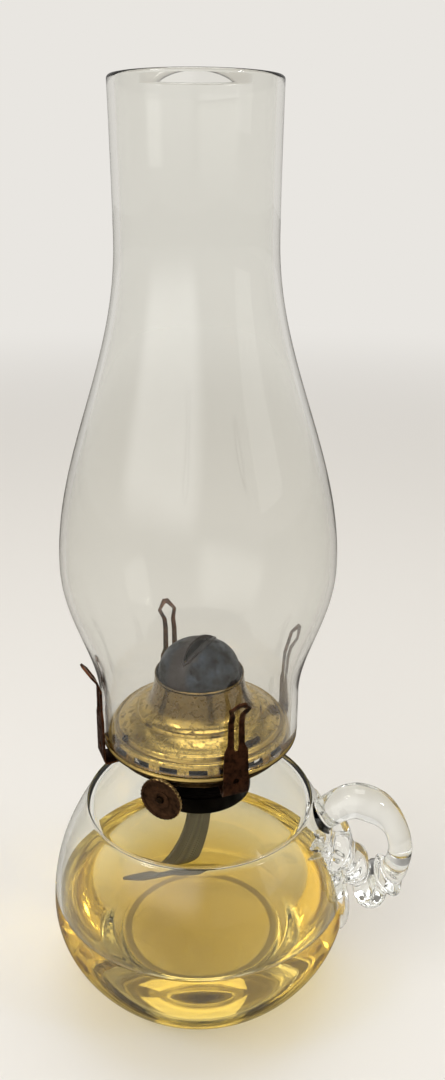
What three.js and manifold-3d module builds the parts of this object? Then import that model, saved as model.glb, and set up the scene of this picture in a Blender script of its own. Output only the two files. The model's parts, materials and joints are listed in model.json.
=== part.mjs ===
// Chamber lamp: a small glass oil lamp carried by a finger handle, with a flat-wick burner and chimney.
// Millimetres, +Z up, origin at the centre of the base, handle along +X.
import * as THREE from 'three';
import { mergeVertices } from 'three/addons/utils/BufferGeometryUtils.js';
import Module from 'manifold-3d';

const wasm = await Module();
wasm.setup();

// Clearance between touching pieces, and how far a cutter runs past what it cuts
const SEAT_GAP = 0.3;
const OVERRUN = 4;

// Glass font
const FONT_BELLY_RADIUS = 51.5;
const FONT_BELLY_HEIGHT = 36;
const FONT_BASE_RADIUS = 29;
const FONT_SHOULDER_RADIUS = 38.7;
const FONT_SHOULDER_HEIGHT = 74.5;
const FONT_CROWN_RISE = 4.2;
const FONT_NECK_RADIUS = 14.9;
const FONT_NECK_LENGTH = 5;
const FONT_NECK_WALL = 1.8;
const FONT_WALL = 2.4;
const FONT_FLOOR = 6.5;
const FONT_HEEL_SPREAD = 3;
const SHOULDER_BEAD = 0.7;
const OIL_DEPTH = 33.5;

// Applied glass handle
const HANDLE_REACH = 73;
const HANDLE_TOP = 84;
const HANDLE_BOTTOM = 41;
const HANDLE_ARM_THICKNESS = 12;
const HANDLE_ROD_THICKNESS = 8;
const HANDLE_STRAP_THICKNESS = 8.5;
const HANDLE_STRAP_WIDTH = 15;
const HANDLE_PAD_WIDTH = 36;
const HANDLE_CRIMP_DEPTH = 1.5;
const HANDLE_TAIL_LENGTH = 29.5;
const HANDLE_TAIL_WIDTH = 8.5;
const HANDLE_TAIL_THICKNESS = 2.7;
const HANDLE_TAIL_TURN_DEG = -11;
const HANDLE_TAIL_TWIST_DEG = 3;

// Threaded collar on the neck
const COLLAR_RADIUS = 17.3;
const COLLAR_WALL = 0.6;
const COLLAR_HEIGHT = 11;
const THREAD_RADIUS = 15.9;
const THREAD_LENGTH = 5.6;
const SHELL_WALL = 0.7;

// Burner body
const SHEET = 0.8;
const CUP_RADIUS = 17.4;
const CUP_HEIGHT = 7;
const PAN_RADIUS = 29.4;
const PAN_DEPTH = 5;
const PAN_HOLE_RADIUS = 1.5;
const PAN_HOLES = 16;
const RIM_RADIUS = 32.4;
const RIM_THICKNESS = 1.6;
const BURNER_TURN_DEG = -108;

// Hood and flame dome
const HOOD_RADIUS = 29.3;
const HOOD_HEIGHT = 20.4;
const HOOD_SKIRT_HEIGHT = 2.2;
const HOOD_NECK_RADIUS = 15;
const HOOD_WALL = 0.7;
const HOOD_SLOTS = 20;
const HOOD_SLOT_LENGTH = 5.6;
const HOOD_SLOT_HEIGHT = 1.3;
const DOME_RADIUS = 13.5;
const DOME_HEIGHT = 13.8;
const DOME_WALL = 0.7;
const DOME_LIP = 0.45;
const FLAME_SLOT_LENGTH = 19;
const FLAME_SLOT_WIDTH = 4.4;

// Wick, its tube and its raiser
const WICK_WIDTH = 16;
const WICK_THICKNESS = 2;
const WICK_TAIL_TURN_DEG = 38;
const WICK_BELOW_TUBE = 60;
const WICK_TAIL_REACH = 26;
const WICK_OVER_TUBE = 1.4;
const TUBE_WALL = 0.5;
const TUBE_PLAY = 0.5;
const TUBE_BELOW_CUP = 7.6;
const TUBE_HEIGHT = 46.5;
const SHAFT_HEIGHT = 5.2;
const SHAFT_RADIUS = 1;
const SHAFT_PLAY = 0.3;
const SPUR_RADIUS = 2.9;
const SPUR_TOOTH = 0.7;
const SPUR_TEETH = 11;
const SPUR_THICKNESS = 0.8;
const SPUR_SPACING = 5.4;
const THUMB_WHEEL_RADIUS = 7.1;
const THUMB_WHEEL_THICKNESS = 1.2;
const THUMB_WHEEL_KNURLS = 32;
const THUMB_WHEEL_KNURL_DEPTH = 0.3;
const THUMB_WHEEL_REACH = 33.3;
const THUMB_HUB_RADIUS = 2.4;
const FERRULE_LENGTH = 4;
const FERRULE_WALL = 0.45;
const BRACKET_HEIGHT = 6.4;

// Chimney
const CHIMNEY_HEIGHT = 195.4;
const CHIMNEY_FOOT_RADIUS = 32.5;
const CHIMNEY_FOOT_HEIGHT = 14;
const CHIMNEY_BULGE_RADIUS = 42.9;
const CHIMNEY_BULGE_HEIGHT = 59.5;
const CHIMNEY_NECK_RADIUS = 23;
const CHIMNEY_NECK_HEIGHT = 155.5;
const CHIMNEY_RIM_FLARE = 0.4;
const CHIMNEY_WALL = 2;

// Spring prongs, each a hairpin of sheet brass on one rivet
const PRONGS = 4;
const PRONG_TURN_DEG = 47;
const PRONG_SHEET = 0.7;
const PRONG_STAND_OFF = 1.2;
const PRONG_PLATE_WIDTH = 8.3;
const PRONG_PLATE_TOP = 15.6;
const PRONG_LEG_SPAN = 5.3;
const PRONG_LEG_GAP = 1.7;
const PRONG_HEAD_SPAN = 7;
const PRONG_HEAD_BAR = 1.3;
const PRONG_GRIP_HEIGHT = 25.4;
const PRONG_HEIGHT = 34.8;
const PRONG_FLARE = 5.2;
const PRONG_BEND = 1.2;
const PRONG_FOOT_LENGTH = 9.6;
const PRONG_EYE_RADIUS = 1.1;
const PRONG_EYE_HEIGHT = 5;
const RIVET_RADIUS = 1.1;
const RIVET_HEAD_RADIUS = 2.2;
const RIVET_HEAD = 0.8;

// Sides of round pieces
const SIDES_LARGE = 36;
const SIDES_MIDDLE = 28;
const SIDES_SMALL = 16;

// Levels above the table, each worked out from the piece below it
const crownLevel = FONT_SHOULDER_HEIGHT + FONT_CROWN_RISE;
const neckTop = crownLevel + FONT_NECK_LENGTH;
const collarBottom = crownLevel + SEAT_GAP;
const collarTop = collarBottom + COLLAR_HEIGHT;
const shellTop = collarTop;
const shellBottom = shellTop - THREAD_LENGTH;
const cupBottom = collarTop + SEAT_GAP;
const cupTop = cupBottom + CUP_HEIGHT;
const panBottom = cupTop + SEAT_GAP;
const rimTop = panBottom + PAN_DEPTH;
const hoodBottom = rimTop + SEAT_GAP;
const shaftLevel = cupBottom + SHAFT_HEIGHT;
const tubeBottom = cupBottom - TUBE_BELOW_CUP;
const tubeTop = tubeBottom + TUBE_HEIGHT;
const shaftOffset = WICK_THICKNESS / 2 + SEAT_GAP + SPUR_RADIUS;
const oilLevel = FONT_FLOOR + OIL_DEPTH;

function radians(degrees) {
  return THREE.MathUtils.degToRad(degrees);
}

// A geometry as a solid that can be joined and cut
function solidOf(geometry) {
  const bare = geometry.clone();
  bare.deleteAttribute('normal');
  bare.deleteAttribute('uv');
  const merged = mergeVertices(bare);
  return new wasm.Manifold(
    new wasm.Mesh({
      numProp: 3,
      vertProperties: merged.attributes.position.array,
      triVerts: new Uint32Array(merged.index.array),
    }),
  );
}

function geometryOf(solid) {
  const mesh = solid.getMesh();
  const geometry = new THREE.BufferGeometry();
  geometry.setAttribute('position', new THREE.BufferAttribute(mesh.vertProperties, 3));
  geometry.setIndex(new THREE.BufferAttribute(mesh.triVerts, 1));
  return geometry;
}

function cut(geometry, ...tools) {
  return geometryOf(tools.reduce((body, tool) => body.subtract(solidOf(tool)), solidOf(geometry)));
}

function join(geometry, ...others) {
  return geometryOf(others.reduce((body, other) => body.add(solidOf(other)), solidOf(geometry)));
}

function common(geometry, other) {
  return geometryOf(solidOf(geometry).intersect(solidOf(other)));
}

// A turned piece: the profile is [radius, height] pairs, counter-clockwise, revolved about Z
function turned(profile, sides) {
  const points = profile.map(([radius, height]) => new THREE.Vector2(radius, height));
  if (profile[0][0] > 0) {
    points.push(points[0].clone());
  }
  return new THREE.LatheGeometry(points, sides).rotateX(Math.PI / 2);
}

function turnedAlongX(profile, sides) {
  return turned(profile, sides).rotateY(Math.PI / 2);
}

function block(width, depth, height) {
  return new THREE.BoxGeometry(width, depth, height);
}

function rodAlongZ(radius, bottom, top, sides) {
  return turned([[0, bottom], [radius, bottom], [radius, top], [0, top]], sides);
}

// A closed skin over rings of points, each ring the same count, with flat ends
function lofted(rings) {
  const count = rings[0].length;
  const positions = rings.flat().flatMap((point) => point.toArray());
  const faces = [];
  for (let ring = 0; ring < rings.length - 1; ring += 1) {
    for (let side = 0; side < count; side += 1) {
      const a = ring * count + side;
      const b = ring * count + ((side + 1) % count);
      faces.push(a, b, b + count);
      faces.push(a, b + count, a + count);
    }
  }
  const last = (rings.length - 1) * count;
  for (let side = 1; side < count - 1; side += 1) {
    faces.push(0, side + 1, side);
    faces.push(last, last + side, last + side + 1);
  }
  const geometry = new THREE.BufferGeometry();
  geometry.setAttribute('position', new THREE.Float32BufferAttribute(positions, 3));
  geometry.setIndex(faces);
  return geometry;
}

// A ring of points round a centre: an oval of two half sizes, which gets squarer as its power falls
function oval(centre, across, through, count, power = 1) {
  return Array.from({ length: count }, (_, index) => {
    const angle = (2 * Math.PI * (index + 0.5)) / count;
    const side = Math.sign(Math.cos(angle)) * Math.abs(Math.cos(angle)) ** power;
    const face = Math.sign(Math.sin(angle)) * Math.abs(Math.sin(angle)) ** power;
    return centre.clone().addScaledVector(across, side).addScaledVector(through, face);
  });
}

function slab(centre, across, through) {
  return [[1, 1], [-1, 1], [-1, -1], [1, -1]].map(([side, face]) =>
    centre.clone().addScaledVector(across, side).addScaledVector(through, face),
  );
}

function piece(name, geometry, colour, metalness, roughness) {
  const material = new THREE.MeshStandardMaterial({ color: colour, metalness, roughness });
  if (!geometry.getAttribute('normal')) {
    geometry.computeVertexNormals();
  }
  const mesh = new THREE.Mesh(geometry, material);
  mesh.name = name;
  return mesh;
}

function glassPiece(name, geometry) {
  const mesh = piece(name, geometry, 0xdfe6e2, 0, 0.05);
  mesh.material.transparent = true;
  mesh.material.opacity = 0.35;
  return mesh;
}

function brassPiece(name, geometry) {
  return piece(name, geometry, 0xb08d3e, 1, 0.35);
}

function darkBrassPiece(name, geometry) {
  return piece(name, geometry, 0x4a3420, 0.9, 0.5);
}

// Font: belly and heel are parabolas about the widest circle
function parabola(widest, narrowest, share) {
  return narrowest + (widest - narrowest) * (1 - share * share);
}

function fontRadius(height) {
  if (height > FONT_BELLY_HEIGHT) {
    const share = (height - FONT_BELLY_HEIGHT) / (FONT_SHOULDER_HEIGHT - FONT_BELLY_HEIGHT);
    return parabola(FONT_BELLY_RADIUS, FONT_SHOULDER_RADIUS, share);
  }
  const share = (FONT_BELLY_HEIGHT - height) / FONT_BELLY_HEIGHT;
  return parabola(FONT_BELLY_RADIUS, FONT_BASE_RADIUS, share);
}

const cavityFloorRadius = FONT_BASE_RADIUS + FONT_HEEL_SPREAD;
const cavityShoulderHeight = FONT_SHOULDER_HEIGHT - FONT_WALL;

function cavityRadius(height) {
  const widest = FONT_BELLY_RADIUS - FONT_WALL;
  if (height > FONT_BELLY_HEIGHT) {
    const share = (height - FONT_BELLY_HEIGHT) / (cavityShoulderHeight - FONT_BELLY_HEIGHT);
    return parabola(widest, FONT_SHOULDER_RADIUS - FONT_WALL, share);
  }
  const share = (FONT_BELLY_HEIGHT - height) / (FONT_BELLY_HEIGHT - FONT_FLOOR);
  return parabola(widest, cavityFloorRadius, share);
}

const fontHeelShares = [0, 0.1, 0.24, 0.42, 0.62, 0.82];
const fontBellyShares = [0, 0.22, 0.44, 0.64, 0.82, 0.93];
const crownShares = [0.74, 0.44, 0.14];

function crownPoint(share, shoulderRadius, shoulderHeight, neckRadius) {
  const radius = neckRadius + (shoulderRadius - neckRadius) * share;
  return [radius, shoulderHeight + FONT_CROWN_RISE * (1 - share * share)];
}

function fontOuterPoints() {
  const heel = fontHeelShares.map((share) => share * FONT_BELLY_HEIGHT);
  const rise = FONT_SHOULDER_HEIGHT - FONT_BELLY_HEIGHT;
  const belly = fontBellyShares.map((share) => FONT_BELLY_HEIGHT + share * rise);
  return [...heel, ...belly].map((height) => [fontRadius(height), height]);
}

function glassFont() {
  const bead = [
    [FONT_SHOULDER_RADIUS, FONT_SHOULDER_HEIGHT],
    [FONT_SHOULDER_RADIUS - SHOULDER_BEAD / 2, FONT_SHOULDER_HEIGHT + SHOULDER_BEAD],
    [FONT_SHOULDER_RADIUS - SHOULDER_BEAD * 2, FONT_SHOULDER_HEIGHT + SHOULDER_BEAD],
  ];
  const crown = crownShares.map((share) =>
    crownPoint(share, FONT_SHOULDER_RADIUS, FONT_SHOULDER_HEIGHT, FONT_NECK_RADIUS),
  );
  const bore = FONT_NECK_RADIUS - FONT_NECK_WALL;
  const neck = [[FONT_NECK_RADIUS, crownLevel], [FONT_NECK_RADIUS, neckTop], [bore, neckTop]];
  const innerCrown = crownShares
    .map((share) => crownPoint(share, FONT_SHOULDER_RADIUS - FONT_WALL, cavityShoulderHeight, bore))
    .reverse();
  const cavityRise = cavityShoulderHeight - FONT_BELLY_HEIGHT;
  const cavityHeel = FONT_BELLY_HEIGHT - FONT_FLOOR;
  const innerBelly = fontBellyShares.map((share) => FONT_BELLY_HEIGHT + share * cavityRise).reverse();
  const innerHeel = fontHeelShares.map((share) => FONT_FLOOR + share * cavityHeel).reverse();
  const inner = [cavityShoulderHeight, ...innerBelly, ...innerHeel].map((height) => [
    cavityRadius(height),
    height,
  ]);
  const profile = [[0, 0], ...fontOuterPoints(), ...bead, ...crown, ...neck];
  profile.push([bore, crownLevel], ...innerCrown, ...inner, [0, FONT_FLOOR]);
  return glassPiece('glass_font', turned(profile, SIDES_LARGE));
}

// The outside of the font as a solid, larger by the seat gap: what is applied to the font is cut by it
function fontEnvelope() {
  const outer = fontOuterPoints().map(([radius, height]) => [radius + SEAT_GAP, height]);
  const top = crownLevel + OVERRUN;
  const profile = [[0, -OVERRUN], [FONT_BASE_RADIUS + SEAT_GAP, -OVERRUN], ...outer];
  profile.push([FONT_SHOULDER_RADIUS + SEAT_GAP, FONT_SHOULDER_HEIGHT + SHOULDER_BEAD + SEAT_GAP]);
  profile.push([FONT_NECK_RADIUS, top], [0, top]);
  return turned(profile, SIDES_LARGE);
}

// Handle centreline: [share of the reach past the shoulder, share of the height from low to high]
const handlePathShares = [
  [0, 0.58],
  [0.1, 0.68],
  [0.215, 0.765],
  [0.33, 0.825],
  [0.46, 0.85],
  [0.66, 0.795],
  [0.81, 0.66],
  [0.885, 0.48],
  [0.875, 0.326],
  [0.825, 0.216],
  [0.738, 0.135],
  [0.636, 0.07],
  [0.53, 0.135],
  [0.435, 0.262],
  [0.325, 0.372],
  [0.198, 0.449],
  [0.082, 0.512],
  [-0.035, 0.547],
];
// How the section changes along the centreline: [share of the path, thickness, width]
const handleSections = [
  [0, HANDLE_ARM_THICKNESS, HANDLE_ARM_THICKNESS * 1.1],
  [0.07, HANDLE_ARM_THICKNESS * 0.85, HANDLE_ARM_THICKNESS],
  [0.24, HANDLE_ARM_THICKNESS, HANDLE_ARM_THICKNESS],
  [0.4, HANDLE_ROD_THICKNESS, HANDLE_ROD_THICKNESS * 1.2],
  [0.52, HANDLE_ROD_THICKNESS, HANDLE_ROD_THICKNESS * 1.35],
  [0.6, HANDLE_STRAP_THICKNESS * 1.15, HANDLE_STRAP_WIDTH * 0.87],
  [0.675, HANDLE_STRAP_THICKNESS * 1.35, HANDLE_STRAP_WIDTH * 0.93],
  [0.775, HANDLE_STRAP_THICKNESS * 0.9, HANDLE_STRAP_WIDTH],
  [0.875, HANDLE_STRAP_THICKNESS * 1.05, HANDLE_STRAP_WIDTH * 1.5],
  [1, HANDLE_STRAP_THICKNESS * 1.5, HANDLE_PAD_WIDTH],
];
// Where the crests of the crimping lie along the path
const crimpShares = [0.53, 0.6, 0.675, 0.775, 0.875, 1];
const crimpStartShare = 0.54;
const handleSteps = 48;
const handleSides = 12;

function sectionAt(share) {
  const next = handleSections.findIndex(([at]) => at >= share);
  const [end, thickEnd, wideEnd] = handleSections[Math.max(next, 1)];
  const [start, thickStart, wideStart] = handleSections[Math.max(next, 1) - 1];
  const blend = THREE.MathUtils.smoothstep(share, start, end);
  return [
    THREE.MathUtils.lerp(thickStart, thickEnd, blend),
    THREE.MathUtils.lerp(wideStart, wideEnd, blend),
  ];
}

function crimpWave(share) {
  const next = Math.max(crimpShares.findIndex((crest) => crest >= share), 1);
  const phase = (share - crimpShares[next - 1]) / (crimpShares[next] - crimpShares[next - 1]);
  const depth = HANDLE_CRIMP_DEPTH * THREE.MathUtils.smoothstep(share, crimpStartShare, crimpShares[1]);
  return Math.cos(2 * Math.PI * phase) * depth;
}

function handleLoop() {
  const span = HANDLE_REACH - FONT_SHOULDER_RADIUS;
  const rise = HANDLE_TOP - HANDLE_BOTTOM;
  const points = handlePathShares.map(
    ([out, up]) => new THREE.Vector3(FONT_SHOULDER_RADIUS + out * span, 0, HANDLE_BOTTOM + up * rise),
  );
  const path = new THREE.CatmullRomCurve3(points, false, 'centripetal');
  const acrossPlane = new THREE.Vector3(0, 1, 0);
  const rings = [];
  for (let step = 0; step <= handleSteps; step += 1) {
    const share = step / handleSteps;
    const centre = path.getPointAt(share);
    const inPlane = path.getTangentAt(share).cross(acrossPlane);
    const [thickness, width] = sectionAt(share);
    const wave = crimpWave(share);
    const across = acrossPlane.clone().multiplyScalar(width / 2 + wave);
    const through = inPlane.multiplyScalar(thickness / 2 + wave * 0.7);
    const squared = THREE.MathUtils.smoothstep(share, crimpStartShare, crimpShares[1]);
    const rounded = THREE.MathUtils.smoothstep(share, crimpShares[3], 1);
    rings.push(oval(centre, across, through, handleSides, 1 - (squared - rounded) * 0.3));
  }
  // The arm and the strap are two skins, because they run into each other where they meet the font
  const middle = handleSteps / 2;
  return join(lofted(rings.slice(0, middle + 1)), lofted(rings.slice(middle)));
}

// The run of glass below the handle follows the belly down from the pad
const tailStartShare = 0.44;
const tailSteps = 8;

function handleTail() {
  const top = HANDLE_BOTTOM + tailStartShare * (HANDLE_TOP - HANDLE_BOTTOM);
  const rings = [];
  for (let step = 0; step <= tailSteps; step += 1) {
    const share = step / tailSteps;
    const turn = radians(HANDLE_TAIL_TURN_DEG + share * HANDLE_TAIL_TWIST_DEG);
    const outward = new THREE.Vector3(Math.cos(turn), Math.sin(turn), 0);
    const sideways = new THREE.Vector3(-Math.sin(turn), Math.cos(turn), 0);
    const height = top - share * HANDLE_TAIL_LENGTH;
    const centre = outward.clone().multiplyScalar(fontRadius(height));
    centre.z = height;
    const taper = Math.sqrt(1 - share ** 4 * 0.85);
    const half = sideways.clone().multiplyScalar((HANDLE_TAIL_WIDTH / 2) * taper);
    const thickness = HANDLE_TAIL_THICKNESS * taper * THREE.MathUtils.lerp(0.65, 1.1, share);
    rings.push(oval(centre, half, outward.clone().multiplyScalar(thickness), 8));
  }
  return lofted(rings);
}

function glassHandle() {
  return glassPiece('glass_handle', cut(join(handleLoop(), handleTail()), fontEnvelope()));
}

function lampOil() {
  const heel = FONT_BELLY_HEIGHT - FONT_FLOOR;
  const levels = fontHeelShares.map((share) => FONT_FLOOR + SEAT_GAP + share * heel);
  const side = [...levels.filter((level) => level < oilLevel), oilLevel];
  const wall = side.map((level) => [cavityRadius(level) - SEAT_GAP * 2, level]);
  const body = turned([[0, side[0]], ...wall, [0, oilLevel]], SIDES_MIDDLE);
  return body;
}

// Collar, plaster and the burner's threaded shell
function fontCollar() {
  const skirtInner = COLLAR_RADIUS - COLLAR_WALL;
  const waist = neckTop + SEAT_GAP;
  return brassPiece(
    'font_collar',
    turned(
      [
        [skirtInner, collarBottom],
        [COLLAR_RADIUS, collarBottom],
        [COLLAR_RADIUS, waist],
        [THREAD_RADIUS + COLLAR_WALL, waist + COLLAR_WALL],
        [THREAD_RADIUS + COLLAR_WALL, collarTop - COLLAR_WALL * 2],
        [COLLAR_RADIUS, collarTop - COLLAR_WALL],
        [COLLAR_RADIUS, collarTop],
        [THREAD_RADIUS, collarTop],
        [THREAD_RADIUS, waist],
        [skirtInner, waist - COLLAR_WALL],
      ],
      SIDES_MIDDLE,
    ),
  );
}

function collarPlaster() {
  const inner = FONT_NECK_RADIUS + SEAT_GAP;
  const outer = COLLAR_RADIUS - COLLAR_WALL - SEAT_GAP;
  const top = neckTop - COLLAR_WALL;
  return piece(
    'collar_plaster',
    turned([[inner, collarBottom], [outer, collarBottom], [outer, top], [inner, top]], SIDES_MIDDLE),
    0xd8d0c0,
    0,
    0.9,
  );
}

function screwShell() {
  const outer = THREAD_RADIUS - SEAT_GAP;
  const inner = outer - SHELL_WALL;
  const lip = inner - SHELL_WALL;
  return brassPiece(
    'screw_shell',
    turned(
      [
        [inner, shellBottom],
        [outer, shellBottom],
        [outer, shellTop],
        [lip, shellTop],
        [lip, shellTop - SHELL_WALL],
        [inner, shellTop - SHELL_WALL],
      ],
      SIDES_MIDDLE,
    ),
  );
}

// Wick tube: a flat sleeve that the cup holds
const tubeInsideWidth = WICK_WIDTH + TUBE_PLAY * 2;
const tubeInsideDepth = WICK_THICKNESS + TUBE_PLAY * 2;
const tubeOutsideWidth = tubeInsideWidth + TUBE_WALL * 2;
const tubeOutsideDepth = tubeInsideDepth + TUBE_WALL * 2;

function spurPlaces() {
  return [-SPUR_SPACING, 0, SPUR_SPACING];
}

function wickTube() {
  const middle = (tubeBottom + tubeTop) / 2;
  const outside = block(tubeOutsideWidth, tubeOutsideDepth, TUBE_HEIGHT).translate(0, 0, middle);
  const inside = block(tubeInsideWidth, tubeInsideDepth, TUBE_HEIGHT + OVERRUN);
  const windows = spurPlaces().map((place) => {
    const width = SPUR_THICKNESS + SEAT_GAP * 2;
    const height = (SPUR_RADIUS + SEAT_GAP) * 2;
    const window = block(width, tubeOutsideDepth, height);
    return window.translate(place, tubeOutsideDepth / 2, shaftLevel);
  });
  return brassPiece('wick_tube', cut(outside, inside.translate(0, 0, middle), ...windows));
}

function tubeOpening(top) {
  const width = tubeOutsideWidth + SEAT_GAP * 2;
  const depth = tubeOutsideDepth + SEAT_GAP * 2;
  return block(width, depth, SHEET * 2 + OVERRUN).translate(0, 0, top);
}

function burnerCup() {
  const inner = CUP_RADIUS - SHEET;
  const flange = CUP_RADIUS + SHEET * 3;
  const flangeBottom = cupTop - SHEET * 0.6;
  const body = turned(
    [
      [0, cupBottom],
      [CUP_RADIUS, cupBottom],
      [CUP_RADIUS, flangeBottom],
      [flange, flangeBottom],
      [flange, cupTop],
      [inner, cupTop],
      [inner, cupBottom + SHEET],
      [0, cupBottom + SHEET],
    ],
    SIDES_MIDDLE,
  );
  const hole = SHAFT_RADIUS + SHAFT_PLAY + FERRULE_WALL + SEAT_GAP;
  const far = CUP_RADIUS * 2;
  const bore = turnedAlongX([[0, 0], [hole, 0], [hole, far], [0, far]], SIDES_SMALL);
  bore.translate(0, shaftOffset, shaftLevel);
  const notch = block(CUP_RADIUS, hole * 2, CUP_HEIGHT);
  notch.translate(CUP_RADIUS * 1.2, shaftOffset, shaftLevel + CUP_HEIGHT / 2);
  return brassPiece('burner_cup', cut(body, tubeOpening(cupBottom), bore, notch));
}

const rivetCircle = PAN_RADIUS - SHEET - RIVET_HEAD_RADIUS - SEAT_GAP * 2;
const prongAngles = Array.from(
  { length: PRONGS },
  (_, index) => PRONG_TURN_DEG + (index * 360) / PRONGS,
);

function aroundZ(geometry, degrees) {
  return geometry.rotateZ(radians(degrees));
}

function galleryPan() {
  const throat = CUP_RADIUS - SHEET * 4;
  const inner = PAN_RADIUS - SHEET;
  const ledge = inner - SHEET / 4;
  const rimBottom = rimTop - RIM_THICKNESS;
  const round = RIM_THICKNESS / 4;
  const floor = panBottom + SHEET;
  const body = turned(
    [
      [throat, panBottom],
      [PAN_RADIUS - SHEET, panBottom],
      [PAN_RADIUS, panBottom + SHEET],
      [PAN_RADIUS, rimBottom],
      [RIM_RADIUS - round, rimBottom],
      [RIM_RADIUS, rimBottom + round],
      [RIM_RADIUS, rimTop - round],
      [RIM_RADIUS - round, rimTop],
      [ledge, rimTop],
      [ledge, rimTop - SHEET],
      [inner, rimTop - SHEET - round],
      [inner, floor + round],
      [inner - round, floor],
      [throat, floor],
    ],
    SIDES_LARGE,
  );
  const ringRadius = (CUP_RADIUS + SHEET * 3 + SEAT_GAP + rivetCircle) / 2;
  const holes = Array.from({ length: PAN_HOLES }, (_, index) => {
    const hole = rodAlongZ(PAN_HOLE_RADIUS, panBottom - OVERRUN, floor + OVERRUN / 2, 8);
    hole.translate(ringRadius, 0, 0);
    return aroundZ(hole, ((index + 0.5) * 360) / PAN_HOLES + PRONG_TURN_DEG);
  });
  const rivetHoles = prongAngles.map((angle) => {
    const radius = RIVET_RADIUS + SEAT_GAP;
    const hole = rodAlongZ(radius, panBottom - OVERRUN, floor + OVERRUN / 2, 12);
    return aroundZ(hole.translate(rivetCircle, 0, 0), angle);
  });
  return brassPiece('gallery_pan', cut(body, ...holes, ...rivetHoles));
}

// Hood: outline from the skirt up, as [share from the skirt in to the neck, share of the height]
const hoodOutlineShares = [
  [0.03, 0.135],
  [0.07, 0.155],
  [0.115, 0.165],
  [0.16, 0.19],
  [0.3, 0.262],
  [0.47, 0.325],
  [0.62, 0.362],
  [0.67, 0.41],
  [0.8, 0.462],
  [0.88, 0.515],
  [0.93, 0.6],
  [0.97, 0.76],
  [1, 0.93],
];

function hoodPoint([inward, up]) {
  return [
    THREE.MathUtils.lerp(HOOD_RADIUS, HOOD_NECK_RADIUS, inward),
    hoodBottom + HOOD_HEIGHT * up,
  ];
}

const domeSeat = hoodBottom + HOOD_HEIGHT - DOME_HEIGHT * 0.32;
const domeApex = domeSeat + DOME_HEIGHT;

function burnerHood() {
  const top = hoodBottom + HOOD_HEIGHT;
  const skirtTop = hoodBottom + HOOD_SKIRT_HEIGHT;
  const outline = hoodOutlineShares.map(hoodPoint);
  const inside = outline
    .map(([radius, level]) => [radius - HOOD_WALL, level - HOOD_WALL / 2])
    .reverse();
  const ledgeTop = domeSeat - SEAT_GAP;
  const ledgeInner = DOME_RADIUS - HOOD_WALL;
  const neckInside = inside.filter(([, level]) => level > ledgeTop + HOOD_WALL);
  const lowerInside = inside.filter(([, level]) => level < ledgeTop - HOOD_WALL * 2);
  const profile = [
    [HOOD_RADIUS - HOOD_WALL, hoodBottom],
    [HOOD_RADIUS, hoodBottom],
    [HOOD_RADIUS, skirtTop],
    ...outline,
    [HOOD_NECK_RADIUS + HOOD_WALL / 3, top - HOOD_WALL / 2],
    [HOOD_NECK_RADIUS, top],
    [HOOD_NECK_RADIUS - HOOD_WALL, top],
    ...neckInside,
    [DOME_RADIUS + SEAT_GAP * 2, ledgeTop],
    [ledgeInner, ledgeTop],
    [ledgeInner, ledgeTop - HOOD_WALL],
    ...lowerInside,
    [HOOD_RADIUS - HOOD_WALL, skirtTop],
  ];
  const slots = Array.from({ length: HOOD_SLOTS }, (_, index) => {
    const slot = block(HOOD_WALL * 4, HOOD_SLOT_LENGTH, HOOD_SLOT_HEIGHT);
    slot.translate(HOOD_RADIUS, 0, hoodBottom + HOOD_SKIRT_HEIGHT / 2);
    return aroundZ(slot, ((index + 0.5) * 360) / HOOD_SLOTS);
  });
  return brassPiece('burner_hood', cut(turned(profile, SIDES_LARGE), ...slots));
}

// Dome: a short cylinder under half an ellipsoid, with a lipped flame slot
const domeSteps = 6;
const domeSideShare = 0.2;

function domeSolid(radius, apex) {
  const spring = domeSeat + DOME_HEIGHT * domeSideShare;
  const profile = [[0, domeSeat], [radius, domeSeat]];
  for (let step = 0; step < domeSteps; step += 1) {
    const angle = (Math.PI / 2) * (step / domeSteps);
    profile.push([radius * Math.cos(angle), spring + (apex - spring) * Math.sin(angle)]);
  }
  profile.push([0, apex]);
  return turned(profile, SIDES_MIDDLE);
}

function slotBlock(margin) {
  const level = domeApex;
  return block(FLAME_SLOT_LENGTH + margin * 2, FLAME_SLOT_WIDTH + margin * 2, DOME_HEIGHT)
    .translate(0, 0, level);
}

function flameDome() {
  const outer = domeSolid(DOME_RADIUS, domeApex);
  const hollow = domeSolid(DOME_RADIUS - DOME_WALL, domeApex - DOME_WALL);
  const below = domeSolid(DOME_RADIUS - DOME_WALL, domeApex - DOME_WALL).translate(0, 0, -OVERRUN);
  const lip = common(domeSolid(DOME_RADIUS + DOME_LIP, domeApex + DOME_LIP), slotBlock(DOME_WALL));
  return piece(
    'flame_dome',
    cut(join(outer, lip), hollow, below, slotBlock(0)),
    0x2b3644,
    0.8,
    0.45,
  );
}

// Wick: hangs straight through the tube, then swings aside and turns in the oil
const wickTailShares = [
  [0, 0.12],
  [0.03, 0.3],
  [0.14, 0.5],
  [0.36, 0.72],
  [0.66, 0.9],
  [1, 1],
];
const wickSteps = 14;

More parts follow.
